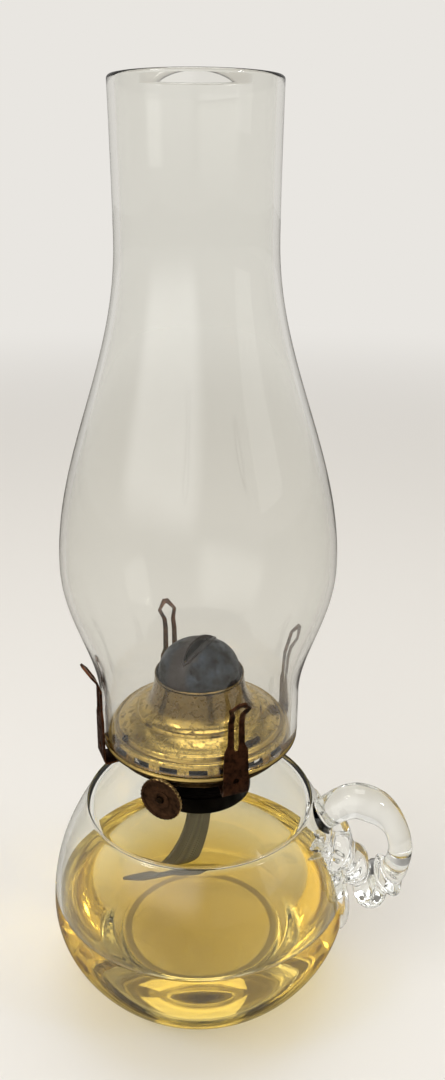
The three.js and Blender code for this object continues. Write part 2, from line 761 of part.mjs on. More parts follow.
function wickSolid(margin) {
  const top = tubeTop + WICK_OVER_TUBE;
  const low = tubeBottom - WICK_BELOW_TUBE;
  const points = wickTailShares.map(
    ([aside, down]) =>
      new THREE.Vector3(0, -aside * WICK_TAIL_REACH, THREE.MathUtils.lerp(tubeBottom, low, down)),
  );
  const tail = new THREE.CatmullRomCurve3(points);
  const widthways = new THREE.Vector3(1, 0, 0);
  const half = WICK_WIDTH / 2 + margin;
  const thick = WICK_THICKNESS / 2 + margin;
  const flat = new THREE.Vector3(0, -thick, 0);
  const wide = widthways.clone().multiplyScalar(half);
  const rings = [slab(new THREE.Vector3(0, 0, top), wide, flat)];
  for (let step = 0; step <= wickSteps; step += 1) {
    const share = step / wickSteps;
    const tangent = tail.getTangentAt(share);
    const turn = radians(WICK_TAIL_TURN_DEG) * THREE.MathUtils.smoothstep(share, 0.1, 0.8);
    const across = widthways.clone().applyAxisAngle(tangent, turn);
    const through = across.clone().cross(tangent).negate();
    rings.push(
      slab(
        tail.getPointAt(share),
        across.multiplyScalar(half),
        through.multiplyScalar(thick),
      ),
    );
  }
  return lofted(rings);
}

function flatWick() {
  return piece('flat_wick', wickSolid(0), 0xcfc4ad, 0, 0.95);
}

// Raiser: shaft, spur wheels and thumb wheel, all on one axis beside the wick tube
const bracketPlace = -(tubeOutsideWidth / 2 + SEAT_GAP + SHEET / 2);
const shaftStart = bracketPlace - SHEET;

function wickShaft() {
  const end = THUMB_WHEEL_REACH + THUMB_WHEEL_THICKNESS;
  const shaft = turnedAlongX(
    [[0, shaftStart], [SHAFT_RADIUS, shaftStart], [SHAFT_RADIUS, end], [0, end]],
    SIDES_SMALL,
  );
  return brassPiece('wick_shaft', shaft);
}

function gearOutline(teeth, tip, root) {
  const shape = new THREE.Shape();
  for (let index = 0; index < teeth * 2; index += 1) {
    const radius = index % 2 ? root : tip;
    const angle = (Math.PI * index) / teeth;
    const draw = index ? 'lineTo' : 'moveTo';
    shape[draw](radius * Math.cos(angle), radius * Math.sin(angle));
  }
  shape.closePath();
  return shape;
}

function discAlongX(shape, thickness, place) {
  const disc = new THREE.ExtrudeGeometry(shape, { depth: thickness, bevelEnabled: false });
  return disc.translate(0, 0, -thickness / 2).rotateY(Math.PI / 2).translate(place, 0, 0);
}

const wheelBore = SHAFT_RADIUS + SHAFT_PLAY;

function boreAlongX(place, length) {
  const from = place - length;
  const to = place + length;
  return turnedAlongX([[0, from], [wheelBore, from], [wheelBore, to], [0, to]], SIDES_SMALL);
}

function spurWheel(name, place) {
  const outline = gearOutline(SPUR_TEETH, SPUR_RADIUS, SPUR_RADIUS - SPUR_TOOTH);
  const disc = discAlongX(outline, SPUR_THICKNESS, place);
  return brassPiece(name, cut(disc, boreAlongX(place, SPUR_THICKNESS)));
}

function thumbWheel() {
  const inset = THUMB_WHEEL_RADIUS - THUMB_WHEEL_KNURL_DEPTH;
  const outline = gearOutline(THUMB_WHEEL_KNURLS, THUMB_WHEEL_RADIUS, inset);
  const disc = discAlongX(outline, THUMB_WHEEL_THICKNESS, THUMB_WHEEL_REACH);
  const face = THUMB_WHEEL_REACH + THUMB_WHEEL_THICKNESS / 2;
  const dished = THUMB_WHEEL_THICKNESS / 3;
  const rimInner = THUMB_WHEEL_RADIUS * 0.86;
  const ringInner = THUMB_WHEEL_RADIUS * 0.42;
  const recess = turnedAlongX(
    [
      [ringInner, face - dished],
      [rimInner, face - dished],
      [rimInner, face + OVERRUN],
      [ringInner, face + OVERRUN],
    ],
    SIDES_MIDDLE,
  );
  const back = THUMB_WHEEL_REACH - THUMB_WHEEL_THICKNESS / 2;
  const hub = turnedAlongX(
    [
      [0, back - THUMB_HUB_RADIUS],
      [THUMB_HUB_RADIUS, back - THUMB_HUB_RADIUS],
      [THUMB_HUB_RADIUS, back],
      [0, back],
    ],
    SIDES_SMALL,
  );
  const body = join(cut(disc, recess), hub);
  return darkBrassPiece('thumb_wheel', cut(body, boreAlongX(THUMB_WHEEL_REACH, THUMB_HUB_RADIUS * 2)));
}

function shaftFerrule() {
  const outer = wheelBore + FERRULE_WALL;
  const middle = Math.sqrt(CUP_RADIUS ** 2 - shaftOffset ** 2);
  const start = middle - FERRULE_LENGTH / 2;
  const end = middle + FERRULE_LENGTH / 2;
  return brassPiece(
    'shaft_ferrule',
    turnedAlongX([[wheelBore, start], [outer, start], [outer, end], [wheelBore, end]], SIDES_SMALL),
  );
}

function shaftBracket() {
  const depth = shaftOffset + tubeOutsideDepth / 2 + BRACKET_HEIGHT / 2;
  const plate = block(SHEET, depth, BRACKET_HEIGHT);
  plate.translate(bracketPlace, shaftOffset + BRACKET_HEIGHT / 2 - depth / 2, shaftLevel);
  const hole = boreAlongX(bracketPlace, SHEET * 2).translate(0, shaftOffset, shaftLevel);
  return brassPiece('shaft_bracket', cut(plate, hole));
}

// Chimney: two S-curves, from foot to bulge and from bulge to neck
function sCurve(from, to, share) {
  return THREE.MathUtils.lerp(from, to, (1 - Math.cos(Math.PI * share)) / 2);
}

function chimneyRadius(height) {
  if (height < CHIMNEY_FOOT_HEIGHT) {
    return CHIMNEY_FOOT_RADIUS;
  }
  if (height < CHIMNEY_BULGE_HEIGHT) {
    const share = (height - CHIMNEY_FOOT_HEIGHT) / (CHIMNEY_BULGE_HEIGHT - CHIMNEY_FOOT_HEIGHT);
    return sCurve(CHIMNEY_FOOT_RADIUS, CHIMNEY_BULGE_RADIUS, share);
  }
  if (height < CHIMNEY_NECK_HEIGHT) {
    const share = (height - CHIMNEY_BULGE_HEIGHT) / (CHIMNEY_NECK_HEIGHT - CHIMNEY_BULGE_HEIGHT);
    return sCurve(CHIMNEY_BULGE_RADIUS, CHIMNEY_NECK_RADIUS, share);
  }
  const share = (height - CHIMNEY_NECK_HEIGHT) / (CHIMNEY_HEIGHT - CHIMNEY_NECK_HEIGHT);
  return CHIMNEY_NECK_RADIUS + CHIMNEY_RIM_FLARE * share * share;
}

const chimneyFootSteps = 6;
const chimneyNeckSteps = 8;

function chimneyLevels() {
  const levels = [0];
  for (let step = 0; step < chimneyFootSteps; step += 1) {
    const share = step / chimneyFootSteps;
    levels.push(THREE.MathUtils.lerp(CHIMNEY_FOOT_HEIGHT, CHIMNEY_BULGE_HEIGHT, share));
  }
  for (let step = 0; step <= chimneyNeckSteps; step += 1) {
    const share = step / chimneyNeckSteps;
    levels.push(THREE.MathUtils.lerp(CHIMNEY_BULGE_HEIGHT, CHIMNEY_NECK_HEIGHT, share));
  }
  return levels;
}

function glassChimney() {
  const levels = chimneyLevels();
  const round = CHIMNEY_WALL / 3;
  const outside = levels.map((level) => [chimneyRadius(level), hoodBottom + level]);
  const inside = levels.map((level) => [chimneyRadius(level) - CHIMNEY_WALL, hoodBottom + level]);
  const top = hoodBottom + CHIMNEY_HEIGHT;
  const rim = chimneyRadius(CHIMNEY_HEIGHT);
  const profile = [
    ...outside,
    [rim, top - round],
    [rim - round, top],
    [rim - CHIMNEY_WALL + round, top],
    [rim - CHIMNEY_WALL, top - round],
    ...inside.reverse(),
  ];
  return glassPiece('glass_chimney', turned(profile, SIDES_LARGE));
}

// Prong: a strip bent along a path in its own XZ plane, its width along Y
const prongFootLevel = panBottom - SEAT_GAP - PRONG_SHEET / 2;
const prongPlateRadius = RIM_RADIUS + PRONG_STAND_OFF;

function prongPath() {
  const gripLevel = prongFootLevel + PRONG_GRIP_HEIGHT;
  const grip = chimneyRadius(gripLevel - hoodBottom) + SEAT_GAP + PRONG_SHEET / 2;
  const start = prongPlateRadius - PRONG_BEND - PRONG_FOOT_LENGTH;
  const tipLevel = prongFootLevel + PRONG_HEIGHT;
  const plateTop = prongFootLevel + PRONG_PLATE_TOP;
  const kneeLevel = THREE.MathUtils.lerp(gripLevel, tipLevel, 0.34);
  const kneeRadius = THREE.MathUtils.lerp(grip, grip + PRONG_FLARE, 0.2);
  const between = (share) => [
    THREE.MathUtils.lerp(kneeRadius, grip + PRONG_FLARE, share * 0.95),
    THREE.MathUtils.lerp(kneeLevel, tipLevel, share),
  ];
  return {
    foot: [start, prongFootLevel],
    heel: [prongPlateRadius - PRONG_BEND, prongFootLevel],
    bend: [prongPlateRadius - PRONG_BEND * 0.3, prongFootLevel + PRONG_BEND * 0.3],
    plate: [prongPlateRadius, prongFootLevel + PRONG_BEND],
    eye: [prongPlateRadius, prongFootLevel + PRONG_EYE_HEIGHT],
    shoulder: [prongPlateRadius, plateTop],
    leg: [THREE.MathUtils.lerp(prongPlateRadius, grip, 0.3), plateTop + PRONG_BEND * 2],
    grip: [grip, gripLevel],
    knee: [kneeRadius, kneeLevel],
    neck: between(0.5),
    crest: between(0.78),
    tip: [grip + PRONG_FLARE, tipLevel],
  };
}

// A strip along some of the path's places, with its half width at each
function strip(path, places, thickness) {
  const stations = places.map(([place, half]) => ({ at: path[place], half }));
  const rings = stations.map(({ at, half }, index) => {
    const before = stations[Math.max(index - 1, 0)].at;
    const after = stations[Math.min(index + 1, stations.length - 1)].at;
    const along = new THREE.Vector3(after[0] - before[0], 0, after[1] - before[1]).normalize();
    const across = new THREE.Vector3(0, half, 0);
    const through = along.clone().cross(new THREE.Vector3(0, 1, 0)).multiplyScalar(thickness / 2);
    return slab(new THREE.Vector3(at[0], 0, at[1]), across, through);
  });
  return lofted(rings);
}

function prongSolid() {
  const path = prongPath();
  const plate = PRONG_PLATE_WIDTH / 2;
  const leg = PRONG_LEG_SPAN / 2;
  const outer = strip(
    path,
    [
      ['foot', leg],
      ['heel', plate],
      ['bend', plate],
      ['plate', plate],
      ['eye', plate],
      ['shoulder', plate * 0.9],
      ['leg', leg],
      ['grip', leg * 0.95],
      ['knee', leg * 0.9],
      ['neck', PRONG_HEAD_SPAN / 2],
      ['tip', leg * 0.4],
    ],
    PRONG_SHEET,
  );
  const gap = PRONG_LEG_GAP / 2;
  const opening = strip(
    path,
    [
      ['shoulder', gap * 0.6],
      ['leg', gap],
      ['grip', gap],
      ['knee', gap],
      ['neck', PRONG_HEAD_SPAN / 2 - PRONG_HEAD_BAR],
      ['crest', gap * 0.5],
    ],
    PRONG_SHEET * 3,
  );
  const eye = rodAlongZ(PRONG_EYE_RADIUS, -OVERRUN, OVERRUN, 12).rotateY(Math.PI / 2);
  eye.translate(path.eye[0], 0, path.eye[1]);
  const low = prongFootLevel - OVERRUN / 2;
  const rivetHole = rodAlongZ(RIVET_RADIUS + SEAT_GAP, low, low + OVERRUN, 12);
  return cut(outer, opening, eye, rivetHole.translate(rivetCircle, 0, 0));
}

function springProng(index) {
  return darkBrassPiece(`prong_${index + 1}`, aroundZ(prongSolid(), prongAngles[index]));
}

function prongRivet(index) {
  const footBottom = prongFootLevel - PRONG_SHEET / 2 - SEAT_GAP;
  const floorTop = panBottom + SHEET + SEAT_GAP;
  const rivet = turned(
    [
      [0, footBottom - RIVET_HEAD],
      [RIVET_HEAD_RADIUS * 0.7, footBottom - RIVET_HEAD],
      [RIVET_HEAD_RADIUS, footBottom],
      [RIVET_RADIUS, footBottom],
      [RIVET_RADIUS, floorTop],
      [RIVET_HEAD_RADIUS, floorTop],
      [RIVET_HEAD_RADIUS * 0.7, floorTop + RIVET_HEAD],
      [0, floorTop + RIVET_HEAD],
    ],
    12,
  );
  rivet.translate(rivetCircle, 0, 0);
  return darkBrassPiece(`prong_rivet_${index + 1}`, aroundZ(rivet, prongAngles[index]));
}

// Assembly
const lamp = new THREE.Group();
const font = new THREE.Group();
font.add(glassFont(), glassHandle(), fontCollar(), collarPlaster());
const burnerTurn = radians(BURNER_TURN_DEG);
const oilCut = wickSolid(SEAT_GAP).rotateZ(burnerTurn);
font.add(piece('lamp_oil', cut(lampOil(), oilCut), 0xd9a52e, 0, 0.1));
lamp.add(font);

const burner = new THREE.Group();
burner.rotation.z = burnerTurn;
burner.add(screwShell(), burnerCup(), galleryPan(), wickTube(), burnerHood(), flameDome());
burner.add(flatWick(), shaftFerrule(), shaftBracket());
const raiser = new THREE.Group();
raiser.position.set(0, shaftOffset, shaftLevel);
raiser.add(wickShaft(), thumbWheel());
spurPlaces().forEach((place, index) => {
  raiser.add(spurWheel(`spur_wheel_${index + 1}`, place));
});
burner.add(raiser);
const ferrule = burner.getObjectByName('shaft_ferrule');
ferrule.position.set(0, shaftOffset, shaftLevel);
for (let index = 0; index < PRONGS; index += 1) {
  burner.add(springProng(index), prongRivet(index));
}
burner.add(glassChimney());
lamp.add(burner);

export default lamp;
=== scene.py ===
import json
import math

import bpy
from mathutils import Matrix, Vector

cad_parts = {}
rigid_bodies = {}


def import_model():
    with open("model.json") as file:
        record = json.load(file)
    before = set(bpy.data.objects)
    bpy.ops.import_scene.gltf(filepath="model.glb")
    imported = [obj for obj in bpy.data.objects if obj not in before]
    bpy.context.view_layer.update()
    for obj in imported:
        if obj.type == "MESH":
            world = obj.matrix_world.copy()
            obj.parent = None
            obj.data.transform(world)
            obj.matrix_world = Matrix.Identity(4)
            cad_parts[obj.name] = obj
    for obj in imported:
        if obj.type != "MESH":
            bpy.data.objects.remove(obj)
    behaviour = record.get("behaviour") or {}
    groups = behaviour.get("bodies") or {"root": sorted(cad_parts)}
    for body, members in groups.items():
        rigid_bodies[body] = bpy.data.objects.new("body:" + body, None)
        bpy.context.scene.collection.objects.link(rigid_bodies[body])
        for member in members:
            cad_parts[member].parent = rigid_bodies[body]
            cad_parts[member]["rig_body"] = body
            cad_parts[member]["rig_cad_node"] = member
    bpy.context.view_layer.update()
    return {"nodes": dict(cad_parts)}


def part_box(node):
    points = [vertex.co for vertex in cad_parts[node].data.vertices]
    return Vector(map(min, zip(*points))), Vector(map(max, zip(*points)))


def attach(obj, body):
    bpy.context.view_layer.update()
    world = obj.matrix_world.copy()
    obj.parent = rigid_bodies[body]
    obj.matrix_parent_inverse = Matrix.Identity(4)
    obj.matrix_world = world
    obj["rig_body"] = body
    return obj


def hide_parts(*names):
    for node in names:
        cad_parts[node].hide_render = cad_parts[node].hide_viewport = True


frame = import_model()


# Camera
# A phone held a little above the table looks down at the lamp, its long side upright, from the side
# where the handle points to the right.
MM = 0.001
PHOTO_HEIGHT_PIXELS = 1080
FOCAL_PIXELS = 950
SENSOR_HEIGHT = 36
CAMERA_DISTANCE = 274.8 * MM
CAMERA_HEIGHT = 274.7 * MM
CAMERA_SIDE_DEG = -80
CAMERA_TURN = 0.027
CAMERA_DROP = 0.369
CAMERA_ROLL = 0.004

scene = bpy.context.scene
camera = bpy.data.objects.new("camera", bpy.data.cameras.new("camera"))
scene.collection.objects.link(camera)
camera.data.sensor_width = SENSOR_HEIGHT
camera.data.lens = SENSOR_HEIGHT * FOCAL_PIXELS / PHOTO_HEIGHT_PIXELS
camera.data.clip_start = 10 * MM
side = math.radians(CAMERA_SIDE_DEG)
place = Vector((CAMERA_DISTANCE * math.cos(side), CAMERA_DISTANCE * math.sin(side), CAMERA_HEIGHT))
heading = side + math.pi / 2 - CAMERA_TURN
camera.matrix_world = (
    Matrix.Translation(place)
    @ Matrix.Rotation(heading, 4, "Z")
    @ Matrix.Rotation(math.pi / 2 - CAMERA_DROP, 4, "X")
    @ Matrix.Rotation(CAMERA_ROLL, 4, "Z")
)
scene.camera = camera


# Studio
# A pale floor that runs out into an even pale surround. Softboxes above, at the right and behind the
# camera light the lamp, and two small window panes give the glass and the brass their bright spots.
PALE_FLOOR = "E4E1DC"
MIRRORED_FLOOR = "66625D"
PALE_SURROUND = "E9E6E1"
MIRRORED_SHARE = 0.4
ROOM_LIGHT = "C0BDB8"
ROOM_CEILING = "85827E"
OVERHEAD_START = 0.3
OVERHEAD_END = 0.75
FLOOR_ROUGHNESS = 0.8
FLOOR_HALF_WIDTH = 6
FLOOR_FADE_START = 0.45
FLOOR_FADE_END = 1.6
BOUNCES = 32
MIRROR_BOUNCES = 8


def linear(colour):
    """An sRGB hex colour as Blender's linear red, green, blue and alpha."""
    parts = [int(colour[i : i + 2], 16) / 255 for i in (0, 2, 4)]
    return [c / 12.92 if c <= 0.04045 else ((c + 0.055) / 1.055) ** 2.4 for c in parts] + [1]


def add_node(tree, kind, settings=None, **links):
    """Adds a shader node, sets its inputs or its own settings by name, and links its inputs."""
    node = tree.nodes.new(kind)
    for key, value in (settings or {}).items():
        if isinstance(key, int) or key in node.inputs:
            node.inputs[key].default_value = value
        else:
            setattr(node, key, value)
    for key, source in links.items():
        slot = int(key[1:]) if key[0] == "_" else key.replace("_", " ")
        tree.links.new(source, node.inputs[slot])
    return node


def new_finish(name, colour, settings):
    """A plain material: gives back the material, its node tree and its shader."""
    finish = bpy.data.materials.new(name)
    finish.use_nodes = True
    shader = finish.node_tree.nodes["Principled BSDF"]
    shader.inputs["Base Color"].default_value = linear(colour)
    for key, value in settings.items():
        shader.inputs[key].default_value = value
    return finish, finish.node_tree, shader


def overlay(tree, value, colour, start=0, full=1, most=1):
    """Lays a colour over a finish, rising as a value goes from start to full; gives back its share."""
    settings = {"From Min": start, "From Max": full, "To Max": most}
    share = add_node(tree, "ShaderNodeMapRange", settings, Value=value).outputs[0]
    base = tree.nodes["Principled BSDF"].inputs["Base Color"]
    settings = {"data_type": "RGBA", 6: base.default_value[:], 7: linear(colour)}
    tone = add_node(tree, "ShaderNodeMix", settings, _0=share)
    for link in base.links:
        tree.links.new(link.from_socket, tone.inputs[6])
    tree.links.new(tone.outputs[2], base)
    return share


def deselect():
    """Leaves edit mode with nothing selected."""
    if bpy.context.object and bpy.context.object.mode != "OBJECT":
        bpy.ops.object.mode_set(mode="OBJECT")
    bpy.ops.object.select_all(action="DESELECT")


def either(tree, first, second):
    """The higher of two masks, such as those for two kinds of ray."""
    return add_node(tree, "ShaderNodeMath", {"operation": "MAXIMUM"}, _0=first, _1=second).outputs[0]


def mirrored_of(tree, rays):
    """One where a ray arrives by a mirror-like reflection: a glossy ray that didn't pass glass."""
    settings = {"operation": "SUBTRACT", "use_clamp": True}
    glossy, through = rays["Is Glossy Ray"], rays["Is Transmission Ray"]
    return add_node(tree, "ShaderNodeMath", settings, _0=glossy, _1=through).outputs[0]


deselect()
bpy.ops.mesh.primitive_plane_add(size=2 * FLOOR_HALF_WIDTH)
floor = bpy.context.object
floor.name = "floor"
floor_finish, tree, shader = new_finish("pale_floor", PALE_FLOOR, {"Roughness": FLOOR_ROUGHNESS})
rays = add_node(tree, "ShaderNodeLightPath").outputs
overlay(tree, mirrored_of(tree, rays), MIRRORED_FLOOR)
place = add_node(tree, "ShaderNodeTexCoord").outputs["Object"]
far = add_node(tree, "ShaderNodeVectorMath", {"operation": "LENGTH"}, _0=place)
settings = {"interpolation_type": "SMOOTHSTEP", "From Min": FLOOR_FADE_START, "From Max": FLOOR_FADE_END}
fade = add_node(tree, "ShaderNodeMapRange", settings, Value=far.outputs["Value"])
seen = either(tree, rays["Is Camera Ray"], rays["Is Transmission Ray"])
hazy = add_node(tree, "ShaderNodeMath", {"operation": "MULTIPLY"}, _0=fade.outputs[0], _1=seen)
plain = shader.outputs[0]
haze = add_node(tree, "ShaderNodeEmission", {"Color": linear(PALE_SURROUND), "Strength": 1})
both = add_node(tree, "ShaderNodeMixShader", None, _0=hazy.outputs[0], _1=plain, _2=haze.outputs[0])
tree.links.new(both.outputs[0], tree.nodes["Material Output"].inputs["Surface"])
floor.data.materials.append(floor_finish)

# The camera sees an even pale surround. Glass and metal see it with a darker ceiling overhead, and
# their reflections, of the floor too, are dimmer, so that the glass doesn't haze what is behind it.
world = bpy.data.worlds.new("pale_surround")
scene.world = world
world.use_nodes = True
tree = world.node_tree
rays = add_node(tree, "ShaderNodeLightPath").outputs
place = add_node(tree, "ShaderNodeTexCoord").outputs["Generated"]
upward = add_node(tree, "ShaderNodeSeparateXYZ", None, Vector=place)
settings = {"interpolation_type": "SMOOTHSTEP", "From Min": OVERHEAD_START, "From Max": OVERHEAD_END}
overhead = add_node(tree, "ShaderNodeMapRange", settings, Value=upward.outputs["Z"])
bounced = either(tree, rays["Is Glossy Ray"], rays["Is Transmission Ray"])
ceiling = add_node(tree, "ShaderNodeMath", {"operation": "MULTIPLY"}, _0=overhead.outputs[0], _1=bounced)
tone = add_node(
    tree,
    "ShaderNodeMix",
    {"data_type": "RGBA", 6: linear(PALE_SURROUND), 7: linear(ROOM_CEILING)},
    _0=ceiling.outputs[0],
)
mirrored = mirrored_of(tree, rays)
dim = add_node(tree, "ShaderNodeMapRange", {"To Min": 1, "To Max": MIRRORED_SHARE}, Value=mirrored)
pale = add_node(tree, "ShaderNodeBackground", None, Color=tone.outputs[2], Strength=dim.outputs[0])
lit = tree.nodes["Background"]
lit.inputs["Color"].default_value = linear(ROOM_LIGHT)
lit.inputs["Strength"].default_value = 1
seen = either(tree, rays["Is Camera Ray"], bounced)
both = add_node(tree, "ShaderNodeMixShader", None, _0=seen, _1=lit.outputs[0], _2=pale.outputs[0])
tree.links.new(both.outputs[0], tree.nodes["World Output"].inputs["Surface"])

# Name, place and size in millimetres, watts, whether glass and metal mirror it, and the share of each
# side over which a curtain fades its edge
SOFTBOXES = [
    ("ceiling", (0, 300, 1900), (1000, 1000), 10, True, 0),
    ("window_front", (-450, -965, 875), (2300, 1700), 15, True, 0.25),
    ("window_right", (1300, -300, 800), (700, 1100), 2, False, 0),
    ("pane_left", (-560, -420, 980), (190, 300), 1.6, True, 0),
    ("pane_right", (790, -290, 620), (110, 110), 1.2, True, 0),
]
AIM = Vector((0, 0, 130 * MM))


def curtain(light, share):
    """Fades a softbox towards its edges, so that no hard edge shows where the glass mirrors it."""
    light.use_nodes = True
    tree = light.node_tree
    across = add_node(tree, "ShaderNodeNewGeometry").outputs["Parametric"]
    sides = add_node(tree, "ShaderNodeSeparateXYZ", None, Vector=across).outputs
    inside = []
    for side in (sides["X"], sides["Y"]):
        off = add_node(tree, "ShaderNodeMath", {"operation": "SUBTRACT", 1: 0.5}, _0=side).outputs[0]
        off = add_node(tree, "ShaderNodeMath", {"operation": "ABSOLUTE"}, _0=off).outputs[0]
        settings = {"interpolation_type": "SMOOTHSTEP", "From Min": 0.5, "From Max": 0.5 - share}
        inside.append(add_node(tree, "ShaderNodeMapRange", settings, Value=off).outputs[0])
    both = add_node(tree, "ShaderNodeMath", {"operation": "MULTIPLY"}, _0=inside[0], _1=inside[1])
    tree.links.new(both.outputs[0], tree.nodes["Emission"].inputs["Strength"])


for name, spot, size, watts, mirrored, faded in SOFTBOXES:
    light = bpy.data.lights.new(name, "AREA")
    light.shape = "RECTANGLE"
    light.size, light.size_y = size[0] * MM, size[1] * MM
    light.energy = watts
    if faded:
        curtain(light, faded)
    lamp = bpy.data.objects.new(name, light)
    lamp.visible_glossy = mirrored
    scene.collection.objects.link(lamp)
    spot = Vector(spot) * MM
    turn = (spot - AIM).to_track_quat("Z", "Y").to_matrix().to_4x4()
    lamp.matrix_world = Matrix.Translation(spot) @ turn

scene.view_settings.view_transform = "Standard"
scene.cycles.max_bounces = BOUNCES
scene.cycles.transmission_bounces = BOUNCES
scene.cycles.glossy_bounces = MIRROR_BOUNCES
scene.cycles.transparent_max_bounces = BOUNCES


# Font
# The oil bowl is blown clear glass: a round belly that runs in to a narrow foot, a shoulder with a thin
# bead where the mould parted, a low crown and a short neck that the collar is plastered on to.
TURN_STEPS = 144
TURN_WELD = 0.004 * MM
SHARP_DEG = 40
FONT_WALL = 2.4 * MM
FONT_FLOOR = 6.5 * MM
FONT_FOOT_RADIUS = 29 * MM
FONT_FOOT_ROUND = 1.6 * MM
FONT_PUNT = 0.9 * MM
FONT_PUNT_RADIUS = FONT_FOOT_RADIUS - 4 * MM
FONT_BOWL_START = 1.2 * MM
FONT_BELLY_LEVEL = 36 * MM
FONT_SHOULDER_RADIUS = 38.7 * MM
FONT_SHOULDER_LEVEL = 74.5 * MM
FONT_BEAD = 0.45 * MM
FONT_NECK_RADIUS = 14.9 * MM
FONT_NECK_BORE = 13.1 * MM
FONT_NECK_LENGTH = 5 * MM
FONT_NECK_ROUND = 0.5 * MM
FONT_CAVITY_FLOOR_RADIUS = 32 * MM
FONT_CAVITY_FLAT = FONT_CAVITY_FLOOR_RADIUS - 4 * MM
FONT_CAVITY_START = FONT_FLOOR + 1.5 * MM
CROWN_SPAN = (FONT_SHOULDER_RADIUS - 2.2 * MM, FONT_NECK_RADIUS + 0.8 * MM)
INNER_CROWN_SPAN = (FONT_NECK_BORE + 0.6 * MM, FONT_SHOULDER_RADIUS - FONT_WALL - 0.8 * MM)
GLASS_TINT = "FAFBF8"
GLASS_INDEX = 1.51
GLASS_ROUGHNESS = 0.01
RIPPLE_SIZE = 18 * MM
FONT_RIPPLE = 0.02 * MM


def spread(low, high, count):
    """Evenly spaced values from low up to high, both included."""
    return [low + (high - low) * i / (count - 1) for i in range(count)]


def shade(sharp_deg=SHARP_DEG):
    """Shades the selected piece smooth, apart from its sharp edges."""
    bpy.ops.object.shade_smooth_by_angle(angle=math.radians(sharp_deg))


def turn_piece(name, outline, steps=TURN_STEPS):
    """Models a turned piece: one point is extruded along the outline, given as radius and level, and
    the line is spun once round the lamp's axis."""
    deselect()
    bpy.ops.mesh.primitive_plane_add(size=MM)
    piece = bpy.context.object
    piece.name = piece.data.name = name
    bpy.ops.object.mode_set(mode="EDIT")
    bpy.ops.mesh.merge(type="CENTER")
    at = (0, 0)
    for i, (radius, level) in enumerate(outline):
        step = (radius - at[0], 0, level - at[1])
        if i:
            bpy.ops.mesh.extrude_vertices_move(TRANSFORM_OT_translate={"value": step})
        else:
            bpy.ops.transform.translate(value=step)
        at = (radius, level)
    bpy.ops.mesh.select_all(action="SELECT")
    bpy.ops.mesh.spin(steps=steps, angle=2 * math.pi, center=(0, 0, 0), axis=(0, 0, 1))
    bpy.ops.mesh.select_all(action="SELECT")
    bpy.ops.mesh.remove_doubles(threshold=TURN_WELD)
    bpy.ops.mesh.normals_make_consistent(inside=False)
    bpy.ops.object.mode_set(mode="OBJECT")
    shade()
    return piece


def swell(widest, narrowest, share):
    """The radius of a parabola that is widest at share 0 and narrowest at share 1."""
    return narrowest + (widest - narrowest) * (1 - share * share)


font_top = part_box("glass_font")[1].z
belly_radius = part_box("glass_font")[1].y
crown_level = font_top - FONT_NECK_LENGTH


def font_radius(level, wall=0, floor=0, foot=FONT_FOOT_RADIUS):
    """The bowl's radius at a level, or its cavity's radius when a wall and a floor are given."""
    if level > FONT_BELLY_LEVEL:
        rise = FONT_SHOULDER_LEVEL - wall - FONT_BELLY_LEVEL
        return swell(belly_radius - wall, FONT_SHOULDER_RADIUS - wall, (level - FONT_BELLY_LEVEL) / rise)
    return swell(belly_radius - wall, foot, (FONT_BELLY_LEVEL - level) / (FONT_BELLY_LEVEL - floor))


def cavity_radius(level):
    """The radius of the space inside the bowl at a level."""
    return font_radius(level, FONT_WALL, FONT_FLOOR, FONT_CAVITY_FLOOR_RADIUS)


def crown_level_at(radius, shoulder, neck, base, rise):
    """The crown's level at a radius: level at the neck and steepest at the shoulder."""
    return base + rise * (1 - ((radius - neck) / (shoulder - neck)) ** 2)


def quarter(centre_radius, centre_level, size, from_deg, to_deg, count=6):
    """Points on an arc about a centre, with 0 degrees outwards and 90 degrees up."""
    angles = [math.radians(a) for a in spread(from_deg, to_deg, count)]
    return [(centre_radius + size * math.cos(a), centre_level + size * math.sin(a)) for a in angles]


punt = [(r, FONT_PUNT * (1 - (r / FONT_PUNT_RADIUS) ** 2)) for r in spread(0, FONT_PUNT_RADIUS, 10)]
foot = quarter(FONT_FOOT_RADIUS - FONT_FOOT_ROUND, FONT_FOOT_ROUND, FONT_FOOT_ROUND, -90, -35)
bowl = [(font_radius(z), z) for z in spread(FONT_BOWL_START, FONT_SHOULDER_LEVEL, 54)]
bead_centre = (FONT_SHOULDER_RADIUS - FONT_BEAD * 0.6, FONT_SHOULDER_LEVEL + FONT_BEAD * 0.1)
bead = quarter(*bead_centre, FONT_BEAD, -20, 150, 7)
crown_rise = crown_level - FONT_SHOULDER_LEVEL
crown = [
    (r, crown_level_at(r, FONT_SHOULDER_RADIUS, FONT_NECK_RADIUS, FONT_SHOULDER_LEVEL, crown_rise))
    for r in spread(*CROWN_SPAN, 16)
]
neck = [
    (FONT_NECK_RADIUS + 0.2 * MM, crown_level + 0.3 * MM),
    (FONT_NECK_RADIUS, crown_level + MM),
    (FONT_NECK_RADIUS, font_top - FONT_NECK_ROUND),
    (FONT_NECK_RADIUS - FONT_NECK_ROUND, font_top),
    (FONT_NECK_BORE + FONT_NECK_ROUND, font_top),
    (FONT_NECK_BORE, font_top - FONT_NECK_ROUND),
    (FONT_NECK_BORE, crown_level),
]
inner_shoulder = FONT_SHOULDER_LEVEL - FONT_WALL
inner_crown = [
    (r, crown_level_at(r, FONT_SHOULDER_RADIUS - FONT_WALL, FONT_NECK_BORE, inner_shoulder, crown_rise))
    for r in spread(*INNER_CROWN_SPAN, 16)
]
cavity = [(cavity_radius(z), z) for z in reversed(spread(FONT_CAVITY_START, inner_shoulder, 48))]
